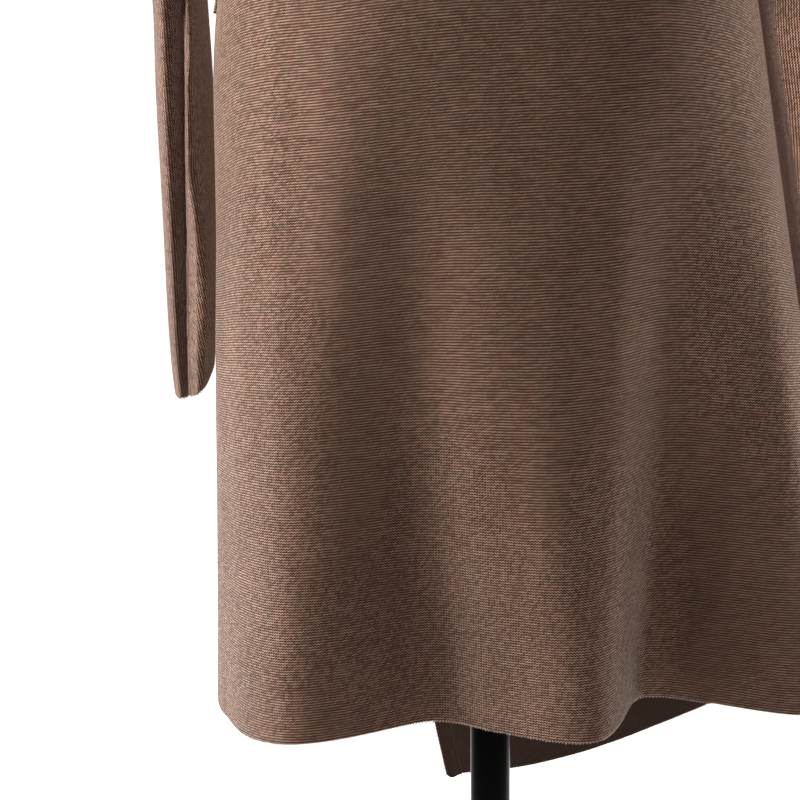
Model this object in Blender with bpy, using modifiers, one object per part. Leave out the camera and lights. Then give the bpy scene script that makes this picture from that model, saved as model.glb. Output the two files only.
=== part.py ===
"""Knit wrap dress on a limbless dress form.  Metres, +Z up, floor at Z = 0.

The front of the dress looks along -Y, so the wearer's left side is at +X and
the back panel is at +Y.  Every cloth piece is an open sheet laid out by the
functions below and given its wall by Solidify, inwards from the outer face.
"""
import math

import bmesh
import bpy
from mathutils import Vector

# ---------------------------------------------------------------- cloth sizes
WALL = 0.0018            # thickness of the knit
SEAM_GAP = 0.0005        # distance between two sewn edges
LAYER_STEP = 0.0028      # the wrap lies this far outside the layer below
WAIST_Z = 1.000
HIP_Z = 0.860
UNDERARM_Z = 1.165
SHOULDER_Z = 1.352       # shoulder tip, where the sleeve head is highest
NECK_Z = 1.400           # where shoulder seam and neckline meet
ARMHOLE_TURN = 26.0      # degrees the armhole edge is cut back from the side
SQUARE = 2.3             # superellipse exponent of the rings

# ------------------------------------------------------------------ form, stand
FORM_BOTTOM_Z = 0.700
NECK_TOP_Z = 1.480
CAP_HEIGHT = 0.016
POLE_RADIUS = 0.0125
BASE_RADIUS = 0.150
BASE_HEIGHT = 0.010

# Rings of the dress, outer face:
# height, half-width at the left (+X), at the right (-X), depth behind, in front
RING_COLUMNS = ("z", "left", "right", "behind", "front")
RINGS = [
    (0.360, 0.1750, 0.2420, 0.1500, 0.1220),
    (0.480, 0.1715, 0.2200, 0.1380, 0.1190),
    (0.600, 0.1695, 0.2050, 0.1290, 0.1170),
    (0.700, 0.1685, 0.1915, 0.1230, 0.1160),
    (0.790, 0.1665, 0.1775, 0.1190, 0.1160),
    (0.860, 0.1665, 0.1670, 0.1160, 0.1150),
    (0.920, 0.1625, 0.1575, 0.1100, 0.1100),
    (0.960, 0.1480, 0.1450, 0.1010, 0.1040),
    (1.000, 0.1340, 0.1340, 0.0930, 0.0990),
    (1.080, 0.1390, 0.1390, 0.0940, 0.1080),
    (1.165, 0.1540, 0.1540, 0.1020, 0.1260),
    (1.250, 0.1600, 0.1600, 0.1020, 0.1150),
    (1.320, 0.1760, 0.1760, 0.0900, 0.0900),
    (1.352, 0.1850, 0.1850, 0.0760, 0.0740),
    (1.378, 0.1360, 0.1360, 0.0680, 0.0680),
    (1.400, 0.0850, 0.0850, 0.0620, 0.0640),
]

# Folds of the skirt, a row per fold.  Angles run from the left side seam (0)
# over the back (90) to the right side seam (180) and on round the front.
# angle at the hem, angle where it starts, reach to the smaller angle, reach to
# the larger angle, depth at the hem (outwards positive), start height
FOLD_COLUMNS = ("hem", "top", "less", "more", "depth", "start")
FOLDS = [
    (46.0, 48.0, 28.0, 30.0, 0.013, 0.820),
    (81.0, 68.0, 32.0, 24.0, -0.045, 0.900),
    (98.0, 98.0, 22.0, 12.0, 0.008, 0.820),
    (117.0, 125.0, 15.0, 31.0, -0.060, 0.880),
    (154.0, 154.0, 20.0, 22.0, 0.008, 0.800),
    (214.0, 212.0, 24.0, 24.0, -0.016, 0.800),
    (250.0, 250.0, 24.0, 24.0, 0.008, 0.780),
    (302.0, 304.0, 22.0, 22.0, -0.016, 0.780),
    (336.0, 336.0, 20.0, 20.0, 0.006, 0.780),
]

# Height of the hem, angle by angle
BACK_HEM = [
    (0.0, 0.4820), (20.0, 0.4830), (42.0, 0.4850), (62.0, 0.4890), (81.0, 0.4925),
    (98.0, 0.4935), (117.0, 0.5000), (152.0, 0.4920), (180.0, 0.4900),
]
OVERLAP_HEM = [
    (180.0, 0.4900), (200.0, 0.4800), (222.0, 0.4580), (237.0, 0.4335), (245.0, 0.4195),
    (254.0, 0.4045), (262.0, 0.3940), (272.0, 0.3855), (280.0, 0.3825),
]
UNDERLAP_HEM = [(236.0, 0.500), (270.0, 0.500), (310.0, 0.494), (360.0, 0.482)]

# Free front edges, height by height: the edge of the upper layer runs from the
# right neck point to the tie at the left waist and on to its low corner, the
# edge of the lower layer mirrors it down to the right waist.
# height, angle of the upper layer's edge, angle of the lower layer's edge
WRAP_COLUMNS = ("z", "over", "under")
WRAP_EDGES = [
    (0.360, 275.5, 252.0),
    (0.500, 284.5, 247.0),
    (0.700, 298.5, 238.0),
    (0.860, 311.0, 229.0),
    (1.000, 327.0, 215.0),
    (1.080, 306.0, 235.0),
    (1.165, 286.0, 254.0),
    (1.250, 272.0, 268.0),
    (1.320, 260.0, 280.0),
    (1.352, 252.0, 288.0),
    (1.378, 236.0, 304.0),
    (1.400, 186.0, 354.0),
]
EDGE_BAND_WIDTH = 0.006  # knitted edge along the free front edge
EDGE_BAND_DROP = 0.003   # the edge hangs this much lower at the corner
CORNER_Z = 0.3825

# Left sleeve, shoulder to cuff.  Each ring: centre x, centre z, tilt of its
# plane, half thickness, half depth (front to back), depth of the seam groove
SLEEVE_COLUMNS = ("x", "z", "tilt", "thick", "deep", "groove")
LEFT_SLEEVE = [
    (0.1828, 1.2465, 75.6, 0.0914, 0.0520, 0.000),
    (0.1905, 1.2175, 69.2, 0.0775, 0.0580, 0.000),
    (0.1950, 1.1675, 60.3, 0.0605, 0.0600, 0.001),
    (0.1950, 1.1100, 46.0, 0.0417, 0.0600, 0.003),
    (0.1928, 1.0475, 26.0, 0.0282, 0.0580, 0.005),
    (0.1903, 0.9825, 7.0, 0.0200, 0.0560, 0.007),
    (0.1866, 0.9200, 0.0, 0.0146, 0.0540, 0.009),
    (0.1850, 0.8600, 0.0, 0.0156, 0.0520, 0.010),
    (0.1838, 0.8000, 0.0, 0.0148, 0.0500, 0.009),
    (0.1828, 0.7400, 0.0, 0.0142, 0.0480, 0.007),
    (0.1825, 0.7020, -10.0, 0.0132, 0.0460, 0.005),
    (0.1822, 0.6800, -20.0, 0.0120, 0.0440, 0.004),
]
RIGHT_SLEEVE = [
    (0.1828, 1.2465, 75.6, 0.0914, 0.0520, 0.000),
    (0.1905, 1.2175, 69.2, 0.0775, 0.0580, 0.000),
    (0.1950, 1.1675, 60.3, 0.0605, 0.0600, 0.001),
    (0.1950, 1.1100, 46.0, 0.0417, 0.0600, 0.003),
    (0.1928, 1.0475, 26.0, 0.0282, 0.0580, 0.005),
    (0.1850, 0.9825, 7.0, 0.0200, 0.0560, 0.007),
    (0.1755, 0.9200, 0.0, 0.0168, 0.0540, 0.008),
    (0.1848, 0.8600, 0.0, 0.0162, 0.0520, 0.008),
    (0.1940, 0.8000, 0.0, 0.0154, 0.0500, 0.008),
    (0.2020, 0.7400, 0.0, 0.0143, 0.0480, 0.007),
    (0.2065, 0.7030, -8.0, 0.0130, 0.0460, 0.005),
    (0.2090, 0.6820, -18.0, 0.0112, 0.0440, 0.004),
]

# Inset of the form below the inner face of the dress, height by height
FORM_INSET = [
    (0.690, 0.0280), (0.740, 0.0210), (0.790, 0.0130), (0.860, 0.0065), (0.920, 0.0040),
    (1.000, 0.0030), (1.163, 0.0042), (1.260, 0.0026), (1.312, 0.0024), (1.352, 0.0028),
    (1.376, 0.0028), (1.400, 0.0028),
]

# Rings of the form: neck (height, radius), torso levels, rounded foot (height, share)
NECK_RINGS = [(1.480, 0.0560), (1.440, 0.0550), (1.416, 0.0580), (1.405, 0.0650)]
FORM_LEVELS = [
    1.397, 1.390, 1.376, 1.352, 1.312, 1.260, 1.210, 1.163, 1.115, 1.065, 1.020,
    1.000, 0.980, 0.958, 0.925, 0.885, 0.845, 0.800, 0.755, 0.712,
]
FOOT_RINGS = [(0.698, 0.985), (0.690, 0.93), (0.686, 0.82)]
FOOT_INSET = 0.0280

# Belt
BELT_WIDTH = 0.040
BELT_GAP = 0.0010
KNOT_ANGLE = 324.0
KNOT_TURN = 9.2          # the band stops this many degrees from the middle of the knot
# Tie ends: angle, height, distance outside the dress
SIDE_TAIL = [
    (334.0, 0.9784, 0.0085), (337.0, 0.9580, 0.0062), (340.5, 0.9420, 0.0040),
    (344.0, 0.9240, 0.0022), (346.0, 0.9070, 0.0018),
]
FRONT_TAIL = [
    (314.5, 0.9784, 0.0090), (313.5, 0.9300, 0.0062), (313.0, 0.8800, 0.0044),
    (313.0, 0.8200, 0.0038), (312.5, 0.7600, 0.0036), (312.0, 0.7000, 0.0036),
]
TAIL_WIDTH = 0.030
KNOT_SIZE = (0.034, 0.018, 0.036)

COLOURS = {
    "knit": (0.235, 0.145, 0.108, 1.0),
    "knit_dark": (0.160, 0.098, 0.072, 1.0),
    "form": (0.62, 0.57, 0.49, 1.0),
    "black": (0.012, 0.012, 0.012, 1.0),
}


# ------------------------------------------------------------------ small maths
def smooth(value):
    value = min(1.0, max(0.0, value))
    return value * value * (3.0 - 2.0 * value)


def read_table(rows, position, column):
    """Value of one column at a position, as a smooth curve through the rows."""
    if position <= rows[0][0]:
        return rows[0][column]
    if position >= rows[-1][0]:
        return rows[-1][column]
    index = 0
    while rows[index + 1][0] < position:
        index += 1
    low, high = rows[index], rows[index + 1]
    span = high[0] - low[0]
    rise = (high[column] - low[column]) / span
    slopes = []
    for here in (index, index + 1):
        if here == 0 or here == len(rows) - 1:
            slopes.append(rise)
            continue
        before = (rows[here][column] - rows[here - 1][column]) / (rows[here][0] - rows[here - 1][0])
        after = (rows[here + 1][column] - rows[here][column]) / (rows[here + 1][0] - rows[here][0])
        if before * after <= 0.0:
            slopes.append(0.0)
        else:
            slopes.append(2.0 * before * after / (before + after))
    t = (position - low[0]) / span
    t2, t3 = t * t, t * t * t
    return (
        (2 * t3 - 3 * t2 + 1) * low[column] + (t3 - 2 * t2 + t) * span * slopes[0]
        + (-2 * t3 + 3 * t2) * high[column] + (t3 - t2) * span * slopes[1]
    )


def ring_value(z, name):
    return read_table(RINGS, z, RING_COLUMNS.index(name))


def wrap_edge(z, name):
    return read_table(WRAP_EDGES, z, WRAP_COLUMNS.index(name))


def armhole_angle(z):
    """How far the panel edge is cut back from the side, in degrees."""
    if z <= UNDERARM_Z or z >= SHOULDER_Z:
        return 0.0
    share = (z - UNDERARM_Z) / (SHOULDER_Z - UNDERARM_Z)
    return ARMHOLE_TURN * math.sin(math.pi * share) ** 0.7


# ------------------------------------------------------------- dress as a surface
def base_point(angle, z):
    turn = math.radians(angle)
    c, s = math.cos(turn), math.sin(turn)
    half = ring_value(z, "left") if c >= 0.0 else ring_value(z, "right")
    deep = ring_value(z, "behind") if s >= 0.0 else ring_value(z, "front")
    power = 2.0 / SQUARE
    return Vector((
        math.copysign(abs(c) ** power, c) * half,
        math.copysign(abs(s) ** power, s) * deep,
        z,
    ))


def fold_depth(angle, z):
    total = 0.0
    for at_hem, at_top, less, more, depth, start in FOLDS:
        grown = (start - z) / (start - 0.480)
        if grown <= 0.0:
            continue
        grown = min(grown, 1.25)
        middle = at_top + (at_hem - at_top) * min(1.0, grown)
        away = angle - middle
        reach = less if away < 0.0 else more
        if abs(away) >= reach:
            continue
        total += depth * grown ** 1.5 * math.cos(0.5 * math.pi * away / reach) ** 2
    return total


def folded_point(angle, z):
    point = base_point(angle, z)
    deep = ring_value(z, "behind") if point.y >= 0.0 else ring_value(z, "front")
    half = ring_value(z, "left") if point.x >= 0.0 else ring_value(z, "right")
    outward = Vector((point.x / half ** 2, point.y / deep ** 2, 0.0)).normalized()
    return point + outward * fold_depth(angle, z)


def surface_normal(angle, z, shape):
    across = shape(angle + 0.8, z) - shape(angle - 0.8, z)
    down = shape(angle, z - 0.002) - shape(angle, z + 0.002)
    return down.cross(across).normalized()


def wrap_lift(angle, z):
    """The upper layer steps out where it lies over the lower one."""
    return LAYER_STEP * smooth((angle - wrap_edge(z, "under") + 16.0) / 12.0)


def dress_point(angle, z, outside=0.0):
    point = folded_point(angle, z)
    if outside:
        point += surface_normal(angle, z, folded_point) * outside
    return point


# ---------------------------------------------------------------- mesh helpers
def material(name, colour, roughness, metallic=0.0):
    made = bpy.data.materials.new(name)
    made.use_nodes = True
    shader = made.node_tree.nodes["Principled BSDF"]
    shader.inputs["Base Color"].default_value = colour
    shader.inputs["Roughness"].default_value = roughness
    shader.inputs["Metallic"].default_value = metallic
    return made


def add_object(name, mesh, look):
    made = bpy.data.objects.new(name, mesh)
    collection.objects.link(made)
    made.data.materials.append(look)
    mesh.shade_smooth()
    return made


def laid_grid(columns, rows, place, closed=False):
    """A grid whose point at (across, down), both 0 to 1, is put by place()."""
    form = bmesh.new()
    bmesh.ops.create_grid(form, x_segments=columns, y_segments=rows, size=0.5)
    for vertex in form.verts:
        across = vertex.co.x + 0.5
        down = 0.5 - vertex.co.y
        vertex.co = place(across, down)
    if closed:
        bmesh.ops.remove_doubles(form, verts=form.verts, dist=0.00001)
    return form


def finish_mesh(form, name):
    mesh = bpy.data.meshes.new(name)
    form.to_mesh(mesh)
    form.free()
    return mesh


def cloth(name, columns, rows, place, look, closed=False, wall=WALL):
    sheet = laid_grid(columns, rows, place, closed)
    made = add_object(name, finish_mesh(sheet, name), look)
    shell = made.modifiers.new("Wall", "SOLIDIFY")
    shell.thickness = wall
    shell.offset = -1.0
    shell.use_rim = True
    return made


def turned(name, profile, look, steps=24):
    """A turned piece: radius and height pairs from the top to the bottom."""
    mesh = bpy.data.meshes.new(name)
    points = [(radius, 0.0, height) for radius, height in profile]
    mesh.from_pydata(points, [(i, i + 1) for i in range(len(points) - 1)], [])
    made = add_object(name, mesh, look)
    screw = made.modifiers.new("Turn", "SCREW")
    screw.steps = steps
    screw.render_steps = steps
    screw.use_merge_vertices = True
    screw.merge_threshold = 0.00001
    screw.use_smooth_shade = True
    return made


# ------------------------------------------------------------------ cloth pieces
UPPER_LEVELS = [
    1.400, 1.390, 1.376, 1.352, 1.312, 1.260, 1.210, 1.163, 1.115, 1.065, 1.020,
    1.000, 0.980, 0.958, 0.925, 0.885, 0.845,
]
SKIRT_ROWS = 8


def level_height(down, hem, neck_dip=0.0):
    """Height of a row: fixed levels to the hip, then even steps to the hem."""
    rows = len(UPPER_LEVELS) - 1 + SKIRT_ROWS
    row = down * rows
    last = len(UPPER_LEVELS) - 1
    if row <= last:
        low = min(int(row + 1e-6), last - 1)
        share = row - low
        z = UPPER_LEVELS[low] * (1.0 - share) + UPPER_LEVELS[low + 1] * share
        dip = neck_dip * max(0.0, (z - 1.35) / (NECK_Z - 1.35)) ** 2
        return z - dip
    share = (row - last) / SKIRT_ROWS
    return UPPER_LEVELS[last] * (1.0 - share) + hem * share


def seam_angle(z):
    """Half of the seam gap as an angle, at this height."""
    return math.degrees(0.5 * SEAM_GAP / ring_value(z, "behind")) + armhole_angle(z)


def back_place(across, down):
    guess = 180.0 * across
    hem = read_table(BACK_HEM, guess, 1)
    dip = 0.010 * math.sin(math.pi * across) ** 2
    z = level_height(down, hem, dip)
    start = seam_angle(z)
    angle = start + (180.0 - 2.0 * start) * across
    return dress_point(angle, z)


def overlap_place(across, down):
    guess = 180.0 + across * (279.0 - 180.0)
    hem = read_table(OVERLAP_HEM, guess, 1)
    z = level_height(down, hem)
    start = 180.0 + seam_angle(z)
    free = wrap_edge(z, "over") - band_angle(z)
    angle = start + (free - start) * across
    return dress_point(angle, z, wrap_lift(angle, z))


def band_angle(z):
    share = 0.25 + 0.75 * min(1.0, max(0.0, (NECK_Z - z) / 0.03))
    return math.degrees((EDGE_BAND_WIDTH * share + SEAM_GAP) / ring_value(z, "front"))


def underlap_place(across, down):
    guess = 248.0 + across * (360.0 - 248.0)
    hem = read_table(UNDERLAP_HEM, guess, 1)
    z = level_height(down, hem)
    start = 360.0 - seam_angle(z)
    free = wrap_edge(z, "under")
    angle = start + (free - start) * (1.0 - across)
    return dress_point(angle, z)


def band_place(across, down):
    hem = CORNER_Z - EDGE_BAND_DROP * (0.4 + 0.6 * across)
    z = level_height(down, hem)
    free = wrap_edge(z, "over")
    width = band_angle(z) - math.degrees(SEAM_GAP / ring_value(z, "front"))
    angle = free - width * (1.0 - across)
    return dress_point(angle, z, wrap_lift(angle, z))


def armhole_point(side, around):
    """Outer edge of the armhole; around runs 0 to 1 from the top over the back."""
    turn = 2.0 * math.pi * around
    middle = 0.5 * (UNDERARM_Z + SHOULDER_Z)
    half = 0.5 * (SHOULDER_Z - UNDERARM_Z)
    z = middle + half * math.cos(turn)
    cut = armhole_angle(z)
    if side > 0:
        angle = cut if around <= 0.5 else 360.0 - cut
    else:
        angle = 180.0 - cut if around <= 0.5 else 180.0 + cut
    return dress_point(angle, z)


def sleeve_ring(row, around):
    """Point of a sleeve ring; around runs from the outer side over the back."""
    x, z, tilt, thick, deep, groove = row
    turn = 2.0 * math.pi * around
    c, s = math.cos(turn), math.sin(turn)
    flat = math.copysign(abs(c) ** 0.8, c) * thick
    depth = math.copysign(abs(s) ** 0.8, s) * deep
    seam = math.cos(0.5 * math.pi * min(1.0, abs(around - 0.25) / 0.075)) ** 2
    depth -= groove * seam
    lean = math.radians(tilt)
    return Vector((x + flat * math.cos(lean), depth, z + flat * math.sin(lean)))


def sleeve_place(side, rows):
    def place(across, down):
        position = down * len(rows)
        low = min(int(position + 1e-6), len(rows) - 1)
        share = position - low
        around = across if side > 0 else 1.0 - across
        if low == 0:
            start = armhole_point(side, around)
            start.x = abs(start.x) + 0.0024
            end = sleeve_ring(rows[0], around)
        else:
            start = sleeve_ring(rows[low - 1], around)
            end = sleeve_ring(rows[low], around)
        point = start.lerp(end, share)
        return Vector((point.x * side, point.y, point.z))
    return place


def belt_place(across, down):
    start, end = KNOT_ANGLE - 360.0 + KNOT_TURN, KNOT_ANGLE - KNOT_TURN
    angle = start + (end - start) * across
    z = WAIST_Z + BELT_WIDTH * (0.5 - down)
    whole = angle if angle >= 0.0 else angle + 360.0
    lift = wrap_lift(whole, z) if 180.0 < whole < 330.0 else 0.0
    if whole >= 330.0:
        lift = LAYER_STEP * smooth((345.0 - whole) / 15.0)
    return dress_point(whole, z, WALL + BELT_GAP + lift)


def tail_place(path):
    def place(across, down):
        position = down * (len(path) - 1)
        low = min(int(position + 1e-6), len(path) - 2)
        share = position - low
        angle = path[low][0] * (1.0 - share) + path[low + 1][0] * share
        z = path[low][1] * (1.0 - share) + path[low + 1][1] * share
        out = path[low][2] * (1.0 - share) + path[low + 1][2] * share
        width = math.degrees(TAIL_WIDTH / ring_value(z, "front"))
        angle += width * (across - 0.5)
        return dress_point(angle, z, WALL + out)
    return place


def form_place(across, down):
    """The torso: neck, then the dress surface without folds set in by cloth and gap."""
    angle = 360.0 * across
    count = len(NECK_RINGS) + len(FORM_LEVELS) + len(FOOT_RINGS) - 1
    row = int(round(down * count))
    if row < len(NECK_RINGS):
        z, half = NECK_RINGS[row]
        turn = math.radians(angle)
        return Vector((half * math.cos(turn), half * math.sin(turn), z))
    row -= len(NECK_RINGS)
    if row < len(FORM_LEVELS):
        z = FORM_LEVELS[row]
        inset = WALL + read_table(FORM_INSET, z, 1)
        return base_point(angle, z) - surface_normal(angle, z, base_point) * inset
    z, share = FOOT_RINGS[row - len(FORM_LEVELS)]
    rim = base_point(angle, FORM_BOTTOM_Z) - surface_normal(angle, FORM_BOTTOM_Z, base_point) * FOOT_INSET
    return Vector((rim.x * share, rim.y * share, z))


# ------------------------------------------------------------------------- build
for old in list(bpy.data.objects):
    bpy.data.objects.remove(old, do_unlink=True)

collection = bpy.data.collections.new("knit_wrap_dress")
bpy.context.scene.collection.children.link(collection)

knit = material("Knit", COLOURS["knit"], 0.9)
knit_edge = material("Knit edge", COLOURS["knit_dark"], 0.9)
cover = material("Form cover", COLOURS["form"], 0.8)
black = material("Black enamel", COLOURS["black"], 0.25)

cloth("dress_back", 38, 24, back_place, knit)
cloth("dress_front_right", 22, 24, overlap_place, knit)
cloth("dress_front_left", 20, 24, underlap_place, knit)
cloth("front_edge_band", 1, 24, band_place, knit_edge)
cloth("sleeve_left", 24, 12, sleeve_place(1, LEFT_SLEEVE), knit, closed=True)
cloth("sleeve_right", 24, 12, sleeve_place(-1, RIGHT_SLEEVE), knit, closed=True)
cloth("belt_band", 40, 2, belt_place, knit)
cloth("belt_end_side", 3, 6, tail_place(SIDE_TAIL), knit)
cloth("belt_end_front", 3, 8, tail_place(FRONT_TAIL), knit)

# The knot of the belt, a soft block across the gap of the band
knot_form = bmesh.new()
bmesh.ops.create_cube(knot_form, size=1.0)
for vertex in knot_form.verts:
    vertex.co = Vector([vertex.co[i] * KNOT_SIZE[i] for i in range(3)])
bmesh.ops.bevel(
    knot_form, geom=knot_form.edges[:], offset=0.006, segments=3, profile=0.6,
    affect="EDGES",
)
knot = add_object("belt_knot", finish_mesh(knot_form, "belt_knot"), knit)
knot_normal = surface_normal(KNOT_ANGLE, WAIST_Z, base_point)
knot.location = dress_point(KNOT_ANGLE, WAIST_Z, LAYER_STEP + 0.0030 + 0.5 * KNOT_SIZE[1])
knot.rotation_euler = (0.0, 0.0, math.atan2(knot_normal.x, -knot_normal.y))

# Limbless torso with an open-armed shape, its neck and its foot closed
torso_form = laid_grid(
    36, len(NECK_RINGS) + len(FORM_LEVELS) + len(FOOT_RINGS) - 1, form_place, closed=True
)
bmesh.ops.holes_fill(torso_form, edges=torso_form.edges[:], sides=0)
bmesh.ops.recalc_face_normals(torso_form, faces=torso_form.faces[:])
add_object("form_torso", finish_mesh(torso_form, "form_torso"), cover)

turned("form_neck_cap", [
    (0.0, NECK_TOP_Z + CAP_HEIGHT),
    (0.050, NECK_TOP_Z + CAP_HEIGHT - 0.001),
    (0.056, NECK_TOP_Z + CAP_HEIGHT - 0.005),
    (0.057, NECK_TOP_Z + 0.004),
    (0.055, NECK_TOP_Z + 0.0004),
    (0.0, NECK_TOP_Z + 0.0004),
], black)

# Stand: flange under the torso, pole, socket and round base
turned("stand_flange", [
    (0.0, 0.6856),
    (0.046, 0.6856),
    (0.048, 0.6830),
    (0.046, 0.6800),
    (0.022, 0.6770),
    (0.020, 0.6560),
    (0.0, 0.6560),
], black)

turned("stand_pole", [
    (0.0, 0.6556),
    (POLE_RADIUS, 0.6556),
    (POLE_RADIUS, BASE_HEIGHT + 0.0044),
    (0.0, BASE_HEIGHT + 0.0044),
], black)

socket_profile = [
    (0.0170, 0.0420), (0.0220, 0.0390), (0.0240, 0.0160), (0.0360, 0.0140),
    (0.0360, 0.0137), (0.0129, 0.0137), (0.0129, 0.0420),
]
socket = turned("stand_socket", socket_profile, black)
socket_mesh = bmesh.new()
socket_mesh.from_mesh(socket.data)
socket_mesh.verts.ensure_lookup_table()
socket_mesh.edges.new((socket_mesh.verts[-1], socket_mesh.verts[0]))
socket_mesh.to_mesh(socket.data)
socket_mesh.free()

turned("stand_base", [
    (0.0, BASE_HEIGHT + 0.0034),
    (0.036, BASE_HEIGHT + 0.0034),
    (0.060, BASE_HEIGHT + 0.0024),
    (BASE_RADIUS - 0.004, BASE_HEIGHT - 0.001),
    (BASE_RADIUS, BASE_HEIGHT - 0.004),
    (BASE_RADIUS, 0.0015),
    (BASE_RADIUS - 0.0015, 0.0),
    (0.0, 0.0),
], black)
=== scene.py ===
import math

import bmesh
import bpy
import numpy as np
from mathutils import Matrix, Vector


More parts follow.
